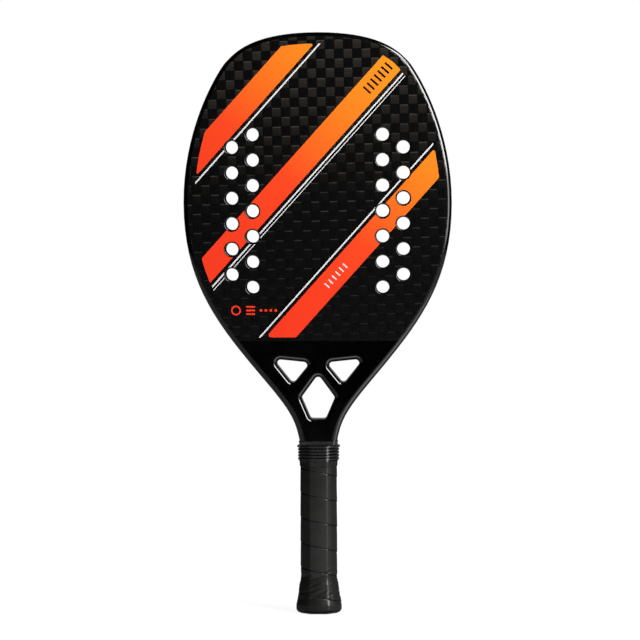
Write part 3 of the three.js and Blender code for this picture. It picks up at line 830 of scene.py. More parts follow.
# %% The pattern of holes
bore_radius = 0.00555
bore_roll = 0.0011
hole_sides = 48
hole_pitch = 0.02184
hole_rows = 7
hole_middle = 0.34715
inner_column = 0.0558
outer_column = 0.0736
weld_gap = hair_gap / 10
pattern_floats = ("Pitch", "First Height", "Inner Column", "Outer Column")
pattern_kinds = {"Rows": "Int", "Hole Sides": "Int"} | stands
pattern_values = {"Rows": hole_rows, "Pitch": hole_pitch, "Hole Sides": hole_sides}
pattern_values["First Height"] = hole_middle - (hole_rows - 1) / 2 * hole_pitch
pattern_values |= {"Inner Column": inner_column, "Outer Column": outer_column}


def hole_points(tree, given):
    """A point at the centre of each hole, on both halves of the face."""
    columns = []
    for column, pitches_up, fewer in (("Inner Column", 0.0, 0.0), ("Outer Column", 0.5, 1.0)):
        height = work_out(tree, "MULTIPLY_ADD", given["Pitch"], pitches_up, given["First Height"])
        line = {"Count": work_out(tree, "SUBTRACT", given["Rows"], fewer)}
        line["Start Location"] = vector(tree, X=given[column], Y=height)
        line["Offset"] = vector(tree, Y=given["Pitch"])
        columns.append(result(tree, "GeometryNodeMeshLine", line))
    right = joined(tree, *columns)
    return joined(tree, right, shifted(tree, right, Scale=(-1, 1, 1)))


def on_holes(tree, points, shape):
    """One copy of a shape at every hole."""
    copies = result(tree, "GeometryNodeInstanceOnPoints", {"Points": points, "Instance": shape})
    return result(tree, "GeometryNodeRealizeInstances", {0: copies})


def bore_circle(tree, given, radius):
    """The outline of one hole."""
    circle = {"Radius": radius, "Resolution": given["Hole Sides"]}
    return result(tree, "GeometryNodeCurvePrimitiveCircle", circle)


def slab(tree, given, top, under, *others):
    """A closed slab: a top, an underside turned over, a wall down the outline, and others."""
    drop = vector(tree, Z=times(tree, given["Thickness"], -1.0))
    below = result(tree, "GeometryNodeFlipFaces", {0: shifted(tree, under, Translation=drop)})
    post = {"Start": (0, 0, 0), "End": vector(tree, Y=given["Thickness"])}
    wall = swept(tree, given["Geometry"], result(tree, "GeometryNodeCurvePrimitiveLine", post))
    shell = joined(tree, top, below, wall, *others)
    return result(tree, "GeometryNodeMergeByDistance", {0: shell, "Distance": weld_gap})


def drilled_tree():
    """A flat panel with drilled holes: two faces, the outer wall and the holes' edges."""
    floats = pattern_floats + ("Bore Radius", "Roll", "Thickness")
    tree, given = new_geometry_tree("drilled_panel", floats, {"Hole Edge": "Object"} | pattern_kinds)
    points = hole_points(tree, given)
    faces = []
    for radius in (work_out(tree, "ADD", given["Bore Radius"], given["Roll"]), given["Bore Radius"]):
        circles = on_holes(tree, points, bore_circle(tree, given, radius))
        cut = joined(tree, given["Geometry"], circles)
        faces.append(result(tree, "GeometryNodeFillCurve", {0: cut}))
    bore = bore_circle(tree, given, given["Bore Radius"])
    rolled = on_holes(tree, points, swept(tree, bore, drawn(tree, given["Hole Edge"])))
    closed = slab(tree, given, *faces, rolled)
    return close_tree(tree, stood_up(tree, closed, given), given)


drilled_panel = drilled_tree()
print("Holes:", 2 * (2 * hole_rows - 1), "of", round(2000 * bore_radius, 2), "mm")

# %% The two skins and the foam between them
roll_steps = 6
foam_half = half_thickness - skin_thickness


def rolled_edge(thickness):
    """A skin's hole edge, from its inner face up the bore and over the roll."""
    roll = [bore_roll * Vector((deep, across)) for across, deep in quarter_round(roll_steps)]
    return [Vector((0, thickness))] + roll


def drilled_piece(name, outline, hole_edge, values):
    """Runs the drilled panel's tree on an outline."""
    edge_seed = path_object("hole_edge", [hole_edge], closed=False)
    settings = pattern_values | {"Bore Radius": bore_radius, "Hole Edge": edge_seed} | values
    return shaded(grow(name, path_object("outline", [outline]), drilled_panel, settings))


for side, front in fronts.items():
    values = {"Roll": bore_roll, "Thickness": skin_thickness, "Material": woven_finish}
    values |= {"Turn": turns[side], "Place": (0, front, 0)}
    skin = drilled_piece(f"{side}_woven_skin", face_outline, rolled_edge(skin_thickness), values)
    finished(skin, "carbon_weave", f"{side}_face_skin")

core_outline = panel_outline(frame_width + hair_gap, seam_height + hair_gap, racket_length)
core_values = {"Roll": 0.0, "Thickness": 2 * (foam_half - hair_gap), "Turn": turns["front"]}
core_values |= {"Place": (0, hair_gap - foam_half, 0), "Material": dull["black_foam"]}
straight_edge = [Vector((0, core_values["Thickness"])), Vector((0, 0))]
core = drilled_piece("drilled_foam_core", core_outline, straight_edge, core_values)
finished(core, "eva_foam", "eva_core")

# %% [markdown]
# ## The throat
# Below the face the racket is a lacquered bridge with three windows. Each window's edge rolls
# from the face into the opening, and that roll carries the brightest lines of the whole
# racket, so it has to be real geometry. The section is narrow across and deep, and it is
# lofted ring by ring round the window's outline, because a sweep would not meet the flat
# panel exactly. The panel's flats are filled by triangles between outline and openings.

# %% The windows' outlines
window_corner = 0.0031
window_corner_steps = 12
roll_across = 0.0038
roll_deep = 0.0046
throat_roll_steps = 10
upper_window_shares = ((0.149, 0.353), (0.256, 0.123), (0.379, 0.395))
lower_point_share = 0.083
lower_side_share = 0.128
lower_foot_share = 0.051
lower_side_height = 0.1865
lower_foot_height = 0.1714
throat_bottom = leg_taper_top


def window_centres():
    """The corner arcs' centres of the two upper windows and the lower one."""
    right = [Vector((waist_width * across, waist_height + throat_height * up))
             for across, up in upper_window_shares]
    left = [Vector((-centre.x, centre.y)) for centre in reversed(right)]
    side = waist_width * lower_side_share
    foot = waist_width * lower_foot_share
    lower = [Vector((0, waist_height + throat_height * lower_point_share))]
    lower += [Vector((-side, lower_side_height)), Vector((-foot, lower_foot_height))]
    lower += [Vector((foot, lower_foot_height)), Vector((side, lower_side_height))]
    return [right, left, lower]


def roll_section():
    """The roll as spread from the opening and depth: out over the face and back behind it."""
    shares = quarter_round(throat_roll_steps)
    section = [(roll_across * across, roll_deep * deep) for across, deep in shares]
    section += [(0, half_thickness - hair_gap), (skin_thickness, half_thickness - hair_gap)]
    under_across, under_deep = roll_across - skin_thickness, roll_deep - skin_thickness
    return section + [(skin_thickness + under_across * across, skin_thickness + under_deep * deep)
                      for across, deep in reversed(shares)]


print("Windows:", len(window_centres()), "with", len(roll_section()), "rings each")

# %% The throat's two shells
def strip(shell, first, second):
    """Faces between two rings of vertices."""
    for index, vertex in enumerate(first):
        shell.faces.new((vertex, first[index - 1], second[index - 1], second[index]))


def filled(shell, rings):
    """Triangles that fill the first ring and leave the others open."""
    vertices = [vertex for ring in rings for vertex in ring]
    for corners in tessellate_polygon([[vertex.co for vertex in ring] for ring in rings]):
        shell.faces.new([vertices[corner] for corner in corners])


def mesh_piece(name, shell, finish):
    """Turns a closed bmesh into an object with its faces outwards."""
    bmesh.ops.recalc_face_normals(shell, faces=shell.faces)
    mesh = bpy.data.meshes.new(name)
    shell.to_mesh(mesh)
    shell.free()
    mesh.materials.append(finish)
    return link(bpy.data.objects.new(name, mesh))


def throat_shell(side):
    """A panel with three rolled windows, stood up at the face it belongs to."""
    shell = bmesh.new()
    outline = panel_outline(face_seam_inset + hair_gap, throat_bottom, seam_height - hair_gap)
    tops = [[shell.verts.new((place.x, place.y, 0)) for place in outline]]
    unders = [[shell.verts.new((place.x, place.y, -skin_thickness)) for place in outline]]
    strip(shell, tops[0], unders[0])
    for centres in window_centres():
        rings = []
        for across, depth in roll_section():
            places = round_outline(centres, window_corner + across, window_corner_steps)
            rings.append([shell.verts.new((place.x, place.y, -depth)) for place in places])
        for first, second in zip(rings, rings[1:]):
            strip(shell, first, second)
        tops.append(rings[0])
        unders.append(rings[-1])
    filled(shell, tops)
    filled(shell, unders)
    piece = mesh_piece(f"{side}_throat_shell", shell, gloss_finish)
    upright = Matrix.LocRotScale(Vector((0, fronts[side], 0)), Euler(turns[side]), None)
    piece.data.transform(upright)
    return shaded(piece)


for side in fronts:
    finished(throat_shell(side), "gloss_lacquer", f"{side}_throat_skin")

# %% [markdown]
# ## Printed bands and lines
# The print is a film of ink, thin but real, so that it has an edge. It has three wide diagonal
# bands, fine lines beside them, rows of plain ticks and a few small marks. A tree fills each
# outline, gives it the ink's thickness and punches it where holes pass through, with the same
# pattern of points that drilled the face.

# %% The film tree
ink_thickness = 0.00004
ink_lift = 0.00002
hole_margin = 0.0002
punch_share = 10.0
on_cloth = 1
on_bands = 2


def film_tree():
    """Flat outlines as a thin film with the face's holes punched out."""
    floats = pattern_floats + ("Punch Radius", "Thickness")
    tree, given = new_geometry_tree("printed_film", floats, pattern_kinds)
    top = result(tree, "GeometryNodeFillCurve", {0: given["Geometry"]})
    drill = {"Vertices": given["Hole Sides"], "Radius": given["Punch Radius"]}
    drill["Depth"] = times(tree, given["Thickness"], punch_share)
    punch = put(tree, "GeometryNodeMeshCylinder", drill).outputs["Mesh"]
    parts = {0: slab(tree, given, top, top), 1: on_holes(tree, hole_points(tree, given), punch)}
    cut = result(tree, "GeometryNodeMeshBoolean", parts, operation="DIFFERENCE", solver="MANIFOLD")
    return close_tree(tree, stood_up(tree, cut, given), given)


printed_film = film_tree()


def printed(name, loops, side, layer, finish):
    """Prints loops on one face. Each layer of ink lies on the one before."""
    lift = layer * (ink_thickness + ink_lift)
    values = pattern_values | {"Punch Radius": bore_radius + bore_roll + hole_margin}
    values |= {"Thickness": ink_thickness, "Material": finish, "Turn": turns[side]}
    values["Place"] = (0, fronts[side] + math.copysign(lift, fronts[side]), 0)
    return shaded(grow(name, path_object("loops", loops), printed_film, values))


print("Ink layers are", ink_thickness * 1000, "mm thick")

# %% The three bands
band_width = 0.0195
band_inset = 0.0098
band_foot_margin = 0.003
band_corner = 0.003
band_corner_steps = 6
sharp_turn_share = 0.19
band_middle_share = 0.511
band_shares = {"upper": 0.3436, "middle": 0.1123, "lower": -0.1718}
head_height = racket_length - waist_height
band_along = Vector((math.cos(band_slope), math.sin(band_slope)))
band_up = Vector((-math.sin(band_slope), math.cos(band_slope)))
band_middle = (waist_height + head_height * band_middle_share) * math.cos(band_slope)


def softened(outline, radius, steps):
    """Rounds a polygon's sharp corners, each as far as its shorter side allows."""
    points = []
    for index, corner in enumerate(outline):
        before = outline[index - 1] - corner
        after = outline[(index + 1) % len(outline)] - corner
        turn = math.pi - before.angle(after)
        if turn < math.pi * sharp_turn_share:
            points.append(corner)
            continue
        reach = min(radius * math.tan(turn / 2), before.length / 2, after.length / 2)
        start = corner + before.normalized() * reach
        end = corner + after.normalized() * reach
        for step in range(steps + 1):
            share = step / steps
            points.append(start.lerp(corner, share).lerp(corner.lerp(end, share), share))
    return points


def band_outline(offset, width):
    """A strip along the bands' direction, cut off by the face panel's outline."""
    panel = panel_outline(band_inset, seam_height + band_foot_margin, racket_length)
    middle = band_middle + offset
    below = clipped(panel, band_up, middle + width / 2)
    return clipped(below, -band_up, width / 2 - middle)


for side in fronts:
    for place, share in band_shares.items():
        outline = band_outline(head_height * share, band_width)
        outline = softened(outline, band_corner, band_corner_steps)
        band = printed(f"{side}_{place}_print", [outline], side, on_cloth, orange_finish)
        finished(band, "orange_print", f"{side}_{place}_band")

# %% [markdown]
# The fine lines run beside the bands, at fixed distances from their edges. The rows of ticks
# are short bars that stand square to the bands: a loop lays them out along the band.

# %% Lines and ticks
line_width = 0.0013
thin_line_width = 0.0007
line_gap = 0.0036
thin_line_gap = 0.0064
tick_size = (0.0017, 0.0085)
tick_pitch = 0.0046
mark_height = 0.262
ring_place = -0.0702
ring_radii = (0.0042, 0.0029)
stack_place = -0.0577
stack_bar = (0.0075, 0.0015)
stack_pitch = 0.0031
stack_rows = (-1, 0, 1)
dot_start = -0.0487
dot_pitch = 0.0042
dot_count = 4
dot_size = (0.0021, 0.0021)
black_tick_start = 0.064
black_tick_count = 7
white_tick_start = 0.012
white_tick_count = 6
white_tick_size = (0.0012, 0.0052)


def bar(middle, along, size):
    """A four-cornered bar about a point: its width lies along the direction given."""
    across = Vector((-along.y, along.x))
    half_along, half_across = along * size[0] / 2, across * size[1] / 2
    return [middle - half_along - half_across, middle + half_along - half_across,
            middle + half_along + half_across, middle - half_along + half_across]


def tick_row(offset, start, count, size):
    """Bars in a row along a band, from a distance along it past the racket's middle."""
    middle = Vector((0, (band_middle + offset) / band_up.y))
    return [bar(middle + band_along * (start + index * tick_pitch), band_along, size)
            for index in range(count)]


def line_loops():
    """The white lines beside the bands."""
    upper, middle, lower = (head_height * share for share in band_shares.values())
    edge_gap = band_width / 2
    lines = ((upper - edge_gap - line_gap, line_width), (middle - edge_gap - line_gap, line_width),
             (middle - edge_gap - thin_line_gap, thin_line_width),
             (lower + edge_gap + line_gap, line_width))
    return [band_outline(offset, width) for offset, width in lines]


def circle_outline(centre, radius):
    """A circle as points, counter-clockwise."""
    angles = [math.tau * side / hole_sides for side in range(hole_sides)]
    return [centre + radius * Vector((math.cos(angle), math.sin(angle))) for angle in angles]


def small_marks():
    """A plain ring, three stacked bars and four dots, low on the left of the face."""
    level = Vector((1, 0))
    centre = Vector((ring_place, mark_height))
    outer, inner = (circle_outline(centre, radius) for radius in ring_radii)
    loops = [outer, inner[::-1]]
    loops += [bar(Vector((stack_place, mark_height + row * stack_pitch)), level, stack_bar)
              for row in stack_rows]
    loops += [bar(Vector((dot_start + index * dot_pitch, mark_height)), level, dot_size)
              for index in range(dot_count)]
    return loops


middle, lower = head_height * band_shares["middle"], head_height * band_shares["lower"]
black_ticks = tick_row(middle, black_tick_start, black_tick_count, tick_size)
white_ticks = tick_row(lower, white_tick_start, white_tick_count, white_tick_size)
prints = {
    "white_lines": (line_loops(), on_cloth, white_finish, "orange_print"),
    "black_ticks": (black_ticks, on_bands, dull["black_ink"], "gloss_lacquer"),
    "white_ticks": (white_ticks, on_bands, white_finish, "orange_print"),
    "small_marks": (small_marks(), on_cloth, orange_finish, "orange_print"),
}
for side in fronts:
    for name, (loops, layer, finish, node_slot) in prints.items():
        finished(printed(f"{side}_{name}", loops, side, layer, finish), node_slot)

# %% [markdown]
# ## The grip
# A cushioned tape is wound up the eight-sided handle, from the butt to the collar. It starts
# as a narrow end, climbs by its pitch each turn and is trimmed level at the top. A sweep
# would keep one width, so the tape is lofted: at each station round the handle its section is
# laid between the heights where the tape begins and ends there. Both its edges are rolled, and
# two turns meet in a soft groove.

# %% Stations round the handle
handle_bevel = 0.00695
handle_corner = 0.002
corner_steps = 4
flat_steps = 6
bevel_share = 2 - math.sqrt(2)


def eight_centres(half_across, half_deep, bevel, corner):
    """The corner arcs' centres of an eight-sided ring, from the right-hand side round."""
    across, deep = half_across - corner, half_deep - corner
    cut = bevel - corner * bevel_share
    quarter = [(across, deep - cut), (across - cut, deep)]
    upper = quarter + [(-x, y) for x, y in reversed(quarter)]
    return [Vector(place) for place in upper + [(-x, -y) for x, y in upper]]


def ring_stations(centres, corner):
    """Places round a ring with the direction outwards there, counter-clockwise."""
    arc = round_outline(centres, corner, corner_steps)
    stations = []
    for index, place in enumerate(arc):
        centre = centres[index // (corner_steps + 1)]
        outward = (place - centre).normalized()
        stations.append((place, outward))
        if index % (corner_steps + 1) == corner_steps:
            following = arc[(index + 1) % len(arc)]
            stations += [(place.lerp(following, step / flat_steps), outward)
                         for step in range(1, flat_steps)]
    return stations


handle_centres = eight_centres(half_handle, handle_half_depth, handle_bevel, handle_corner)
handle_stations = ring_stations(handle_centres, handle_corner)
stations_per_side = corner_steps + flat_steps


def ring_at(stations, growth, height):
    """A ring of points grown outwards, at a height."""
    grown = [place + outward * growth for place, outward in stations]
    return [Vector((place.x, place.y, height)) for place in grown]


print("Stations round the handle:", len(handle_stations))

# %% The butt's flare
butt_flare = 0.0038
butt_round_height = 0.0045
butt_round_inset = 0.007
butt_widest = 0.008
butt_cap_top = 0.026
cap_lip = 0.001
flare_bend_share = 0.38
fade_height = 0.006


def butt_swell(height):
    """How far the butt stands out beyond the plain grip at a height."""
    if height < butt_round_height:
        share = (butt_round_height - height) / butt_round_height
        return butt_flare - butt_round_inset * (1 - math.sqrt(1 - share * share))
    if height < butt_widest:
        return butt_flare
    if height < butt_cap_top:
        share = (butt_cap_top - height) / (butt_cap_top - butt_widest)
        bent = share * (1 - flare_bend_share * (1 - share))
        return cap_lip + (butt_flare - cap_lip) * bent
    fade = min((height - butt_cap_top) / fade_height, 1)
    return cap_lip * (1 - fade) ** 2


print("Butt half width:", round(1000 * (half_handle + butt_swell(butt_widest)), 1), "mm bare")

# %% The wound tape
tape_inner = 0.0002
tape_outer = 0.0019
tape_lean = 0.00025
tape_pitch = 0.0216
tape_gap = 0.00008
tape_end_width = 0.003
tape_bottom = 0.0024
tape_top = pallet_top
low_roll = 0.0007
high_roll = 0.0012
rolls_in_width = 3
edge_arc_steps = 5
middle_steps = 54
tape_start_side = 1
tape_sag = 0.0006
corner_sink_shares = (0, 1, 1, 0)
crease_depth = 0.0011
crease_zone = (0.009, 0.017, 0.027, 0.043)
crease_pitch = 0.0028
crease_length = 0.011
crease_slant = 0.45
wound_wave = 0.00024
wave_pitch = 0.012
turn_limit = 20
tape_sharp_degrees = 50


def tape_shares():
    """The share of a turn that each station has climbed, walking clockwise from the start."""
    start = tape_start_side * stations_per_side + corner_steps
    ring = ring_at(handle_stations, tape_outer, 0)
    walk = [ring[(start - step) % len(ring)] for step in range(len(ring) + 1)]
    lengths = [0]
    for before, here in zip(walk, walk[1:]):
        lengths.append(lengths[-1] + (here - before).length)
    return start, [length / lengths[-1] for length in lengths]


def sag_share(index):
    """The share of the sag at a station: all of it at the front and back corners."""
    corner, step = divmod(index, stations_per_side)
    along = max(0, step - corner_steps) / flat_steps
    here = corner_sink_shares[corner % len(corner_sink_shares)]
    following = corner_sink_shares[(corner + 1) % len(corner_sink_shares)]
    return here * max(0, 1 - 2 * along) ** 2 + following * max(0, 2 * along - 1) ** 2


def crease_at(spot):
    """The depth of the tape's creases at a place: strong where it bends out over the flare."""
    start, full, easing, end = crease_zone
    rising, falling = (spot.z - start) / (full - start), (end - spot.z) / (end - easing)
    share = min(max(rising, 0), max(falling, 0), 1)
    slanted = spot.z - crease_slant * spot.x
    fold = Vector((spot.x / crease_length, spot.y / crease_length, slanted / crease_pitch))
    fold = noise.noise(fold)
    swell = 0.5 + 0.5 * noise.noise(spot / wave_pitch)
    return crease_depth * share * max(fold, 0) + wound_wave * swell


def tape_profile(bottom, top):
    """The tape's section at a station, as growth and height, from its inner foot round."""
    width = top - bottom
    low, high = (min(roll, width / rolls_in_width) for roll in (low_roll, high_roll))
    profile = [(tape_inner, bottom)]
    for across, deep in quarter_round(edge_arc_steps):
        profile.append((tape_outer - low * across, bottom + low * deep))
    for step in range(1, middle_steps):
        share = step / middle_steps
        rise = low + (width - low - high) * share
        profile.append((tape_outer - tape_lean * share, bottom + rise))
    crest = tape_outer - tape_lean
    for across, deep in quarter_round(edge_arc_steps):
        profile.append((crest - high * deep, top - high * across))
    return profile + [(tape_inner, top)]


def tape_rings():
    """The tape's sections from its start at the butt to its trimmed end."""
    start, shares = tape_shares()
    count = len(handle_stations)
    rings = []
    for step in range(count * turn_limit):
        wound = step // count + shares[step % count]
        climbed = tape_bottom + tape_end_width + tape_pitch * wound
        bottom = max(tape_bottom, climbed - tape_pitch + tape_gap)
        if bottom > tape_top - tape_end_width:
            return rings
        index = (start - step) % count
        place, outward = handle_stations[index]
        ring = []
        for growth, height in tape_profile(bottom, min(tape_top, climbed)):
            spot = place + outward * (growth + butt_swell(height))
            softness = (growth - tape_inner) / (tape_outer - tape_inner)
            sunk = tape_sag * sag_share(index) + crease_at(Vector((*spot, height)))
            spot -= outward * softness * sunk
            ring.append(Vector((*spot, height)))
        rings.append(ring)


def lofted(name, rings, finish, capped=True):
    """Joins rings one after another. Its ends are capped, or the last ring meets the first."""
    shell = bmesh.new()
    loops = [[shell.verts.new(place) for place in ring] for ring in rings]
    for first, second in zip(loops, loops[1:]):
        strip(shell, first, second)
    if capped:
        shell.faces.new(loops[0])
        shell.faces.new(loops[-1])
    else:
        strip(shell, loops[-1], loops[0])
    return mesh_piece(name, shell, finish)


tape = lofted("wound_grip_tape", tape_rings(), tape_finish)
finished(smoothed(tape, tape_sharp_degrees), "grip_tape", "grip_tape")

# %% [markdown]
# ## The finishing strip
# A thin vinyl strip holds the tape's trimmed end. It follows the handle's ring, so it is a
# sweep along that ring of a flat section with broken corners.

# %% The strip round the tape's end
strip_inner = 0.00195
strip_thickness = 0.00025
strip_chamfer_share = 1 / 3
strip_drop = 0.01
strip_height = 0.0115


def ring_sweep_tree():
    """Sweeps a section round a level ring and lifts it to its place."""
    tree, given = new_geometry_tree("ring_sweep", (), {"Section": "Object"} | stands)
    ring = swept(tree, given["Geometry"], drawn(tree, given["Section"]))
    return close_tree(tree, stood_up(tree, ring, given), given)


def strip_section():
    """A flat section with broken corners: x points outwards and y down."""
    chamfer = strip_thickness * strip_chamfer_share
    outside, foot = strip_thickness, strip_height
    corners = [(0, 0), (outside - chamfer, 0), (outside, chamfer), (outside, foot - chamfer),
               (outside - chamfer, foot), (0, foot)]
    return [Vector(corner) for corner in corners]


ring = [place + outward * strip_inner for place, outward in handle_stations]
values = {"Section": path_object("strip_section", [strip_section()]), "Turn": (0, 0, 0)}
values |= {"Place": (0, 0, handle_top - strip_drop + strip_height), "Material": dull["strip_vinyl"]}
end_strip = grow("finishing_strip", path_object("strip_ring", [ring]), ring_sweep_tree(), values)
finished(shaded(end_strip), "end_tape", "grip_end_tape")

# %% [markdown]
# ## The ribbed collar
# A moulded rubber collar hides the strip and the joint with the throat. Its sleeve changes
# from the handle's eight sides to the flatter neck, and ribs run round it. The sleeve is
# lofted plain, with an attribute that says where it is ribbed. Geometry Nodes then raises
# the ribs: each rises steeply from its underside and falls off over a long shoulder, and the
# height over the first rib, divided by their pitch, says where a point of the wall lies.

# %% The collar's plain sleeve
collar_bore = 0.0023
collar_groove = 0.00262
collar_foot_round = 0.0002
collar_lip_height = 0.0032
collar_lip_wall = 0.0006
collar_lip_round = 0.0005
collar_bore_top = 0.1411
neck_clearance = 0.0002
neck_round = 0.0046
collar_corner = 0.0048
rib_rings = 176
lip_rings = 8
half_course_points = half_course()
collar_centres = eight_centres(half_handle, handle_half_depth, handle_bevel, collar_corner)
collar_stations = ring_stations(collar_centres, collar_corner)


def edge_half_width(height):
    """Half the racket's width at a height below the waist."""
    for above, below in zip(half_course_points, half_course_points[1:]):
        if below.y <= height <= above.y and height < waist_height:
            return below.lerp(above, (height - below.y) / (above.y - below.y)).x
    return half_handle


def neck_ring(growth, height):
    """A ring round the neck, which is flatter and squarer than the grip."""
    bevel = (neck_round + growth) * bevel_share
    half_across = edge_half_width(height) + growth
    centres = eight_centres(half_across, half_thickness + growth, bevel, handle_corner)
    return ring_at(ring_stations(centres, handle_corner), 0, height)


def collar_rings():
    """The sleeve's rings up the outside, over the lip and down the bore."""
    lip_bottom = neck_height - collar_lip_height
    rings = []
    for step in range(rib_rings + 1):
        height = collar_bottom + (lip_bottom - collar_bottom) * step / rib_rings
        foot = max(0, 1 - (height - collar_bottom) / collar_foot_round)
        growth = collar_groove - collar_foot_round * foot ** 2
        rings.append(ring_at(collar_stations, growth, height))
    for step in range(lip_rings + 1):
        share = step / lip_rings
        height = lip_bottom + collar_lip_height * share
        round_off = max(0, (height - neck_height + collar_lip_round) / collar_lip_round)
        wall = collar_lip_wall - collar_lip_round * (1 - math.sqrt(1 - min(1, round_off) ** 2))
        rings.append(neck_ring(neck_clearance + wall, height))
    rings.append(neck_ring(neck_clearance, neck_height))
    rings.append(neck_ring(neck_clearance, lip_bottom))
    rings.append(ring_at(handle_stations, collar_bore, collar_bore_top))
    rings.append(ring_at(handle_stations, collar_bore, collar_bottom))
    return rings


sleeve_rings = collar_rings()
sleeve = lofted("sleeve", sleeve_rings, rubber_finish, capped=False)
ribbed = sleeve.data.attributes.new("ribbed", "FLOAT", "POINT")
for index in range(rib_rings * len(handle_stations)):
    ribbed.data[index].value = 1
print("Collar sleeve rings:", len(sleeve_rings))

# %% The ribs
first_rib = collar_bottom + 0.0019
rib_pitch = 0.0027
rib_height = 0.00104
top_rib_height = 0.00179
even_ribs = 4
top_rib_start = first_rib + rib_pitch * (even_ribs - 0.5)
collar_sharp_degrees = 60
underside_shares = (0.13, 0.24)
shoulder_shares_down = (1.0, 0.52)


def rib_tree():
    """Pushes the ribbed wall outwards at each rib, and marks how far every point stands out."""
    floats = ("First Rib", "Pitch", "Rib Height", "Top Rib Height", "Top Rib Start")
    tree, given = new_geometry_tree("collar_ribs", floats, {})
    height = axes(tree, result(tree, "GeometryNodeInputPosition"))["Z"]
    above = work_out(tree, "SUBTRACT", height, given["First Rib"])
    pitches = work_out(tree, "DIVIDE", above, given["Pitch"])
    share = work_out(tree, "FRACT", work_out(tree, "ADD", pitches, 0.5))
    shape = times(tree, ease(tree, share, *underside_shares), ease(tree, share, *shoulder_shares_down))
    is_top = work_out(tree, "GREATER_THAN", height, given["Top Rib Start"])
    reach = between(tree, is_top, given["Rib Height"], given["Top Rib Height"])
    named = {"Name": "ribbed"}
    ribbed = result(tree, "GeometryNodeInputNamedAttribute", named, data_type="FLOAT")
    hollow = times(tree, ribbed, work_out(tree, "SUBTRACT", 1.0, shape))
    wall = marked(tree, given["Geometry"], "crest", work_out(tree, "SUBTRACT", 1.0, hollow))
    outward = result(tree, "GeometryNodeInputNormal")
    push = vector_work(tree, "SCALE", outward, Scale=times(tree, shape, reach, ribbed))
    pushed = result(tree, "GeometryNodeSetPosition", {0: wall, "Offset": push})
    return close_tree(tree, pushed, given)


values = {"First Rib": first_rib, "Pitch": rib_pitch, "Rib Height": rib_height}
values |= {"Top Rib Height": top_rib_height, "Top Rib Start": top_rib_start, "Material": rubber_finish}
collar = grow("ribbed_collar", sleeve, rib_tree(), values)
finished(shaded(collar, collar_sharp_degrees), "collar_rubber", "grip_collar")

# %% [markdown]
# ## The butt cap
# The moulded cap closes the handle and gives the hand its flare. Only its rounded foot shows
# below the tape: the rest is a cup round the pallets. It is lofted from the same rings.

# %% The cap's rings
ledge_height = 0.0022
cap_floor = 0.005
cap_share = 0.88
foot_rings = 10
cap_wall_rings = 12
dish_inset = 0.0028
dish_slope = 0.0006
dish_depth = 0.0007


def cap_rings():
    """The cap from its dished foot, up the wall and down into the pocket."""
    foot_growth = tape_outer + butt_swell(0)
    rings = [ring_at(handle_stations, foot_growth - dish_inset - dish_slope, dish_depth)]
    rings.append(ring_at(handle_stations, foot_growth - dish_inset, 0))
    for step in range(foot_rings + 1):
        height = ledge_height * (step / foot_rings) ** 2
        rings.append(ring_at(handle_stations, tape_outer + butt_swell(height), height))
    for step in range(cap_wall_rings + 1):
        height = ledge_height + (butt_cap_top - ledge_height) * step / cap_wall_rings
        rings.append(ring_at(handle_stations, cap_share * butt_swell(height), height))
    rings.append(ring_at(handle_stations, tape_inner, butt_cap_top))
    rings.append(ring_at(handle_stations, tape_inner, cap_floor))
    return rings


cap = lofted("moulded_butt_cap", cap_rings(), dull["cap_plastic"])
finished(shaded(cap), "moulded_plastic", "butt_cap")

# %% [markdown]
# ## Hidden pieces
# The foam pallets, the web between the tube's legs and the throat's core are plain shapes
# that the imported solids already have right. They stay, with a finish of their own.

# %% Foam for the solids that stay
for node in ("throat_core", "handle_web", "front_handle_pallet", "back_handle_pallet"):
    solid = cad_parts[node]
    for slot in solid.material_slots:
        slot.material = dull["pale_foam"]
    print(node, "keeps its shape")

# %% [markdown]
# ## The studio
# The racket stands on a pale floor against white. The camera sees white wherever nothing
# stands, by the ray's kind and not by more light. Black gloss looks like what it reflects, so
# the room that gloss sees is dark, as in a product photograph, with a dim pale wall behind the
# racket. Before it, a patch of the floor glows for gloss rays alone: painted light that stands
# in for a reflector card. Three softboxes light it from the right, and one behind it on the
# left, so that its back isn't black.

# %% Camera
camera_place = Vector((0.07, -2.95, 0.4))
camera_aim = Vector((0.0016, 0, 0.2531))
camera_roll = math.radians(-0.2)
camera_lens = 193
camera_data = bpy.data.cameras.new("camera")
camera_data.lens = camera_lens
camera = link(bpy.data.objects.new("camera", camera_data))
camera.location = camera_place
look = (camera_aim - camera_place).to_track_quat("-Z", "Y").to_matrix()
camera.rotation_euler = (look @ Matrix.Rotation(camera_roll, 3, "Z")).to_euler()
bpy.context.scene.camera = camera
print("Camera stands", round((camera_aim - camera_place).length, 2), "m away")

# %% World and floor
room_white = (1, 1, 1, 1)
floor_radius = 1.4
floor_sides = 96
floor_glow = 0.9
far_glow = 1.0
glow_reach = (0.25, 1.1)
floor_colours = ((0.17, 0.17, 0.17, 1), (0.155, 0.155, 0.155, 1))
mottle_scale = 3.0
floor_roughness = 0.9
floor_gloss_share = 0.1
# A patch of floor that glows for gloss rays alone: painted light standing in for a card
glow_patch_middle = (0.26, -0.31, 0)
glow_patch_half_size = (0.42, 0.18, 1)
glow_patch_edge = (1.15, 0.85)
glow_patch_level = 1.4
room_level = 0.03
backdrop_start = 0.5
backdrop_full = 0.8
backdrop_level = 0.24


def seen_by(tree):
    """The kinds of ray: whether the camera sees a place, straight or through glass, or gloss."""
    path = put(tree, "ShaderNodeLightPath").outputs
    seen = work_out(tree, "MAXIMUM", path["Is Camera Ray"], path["Is Transmission Ray"])
    return seen, path["Is Glossy Ray"]


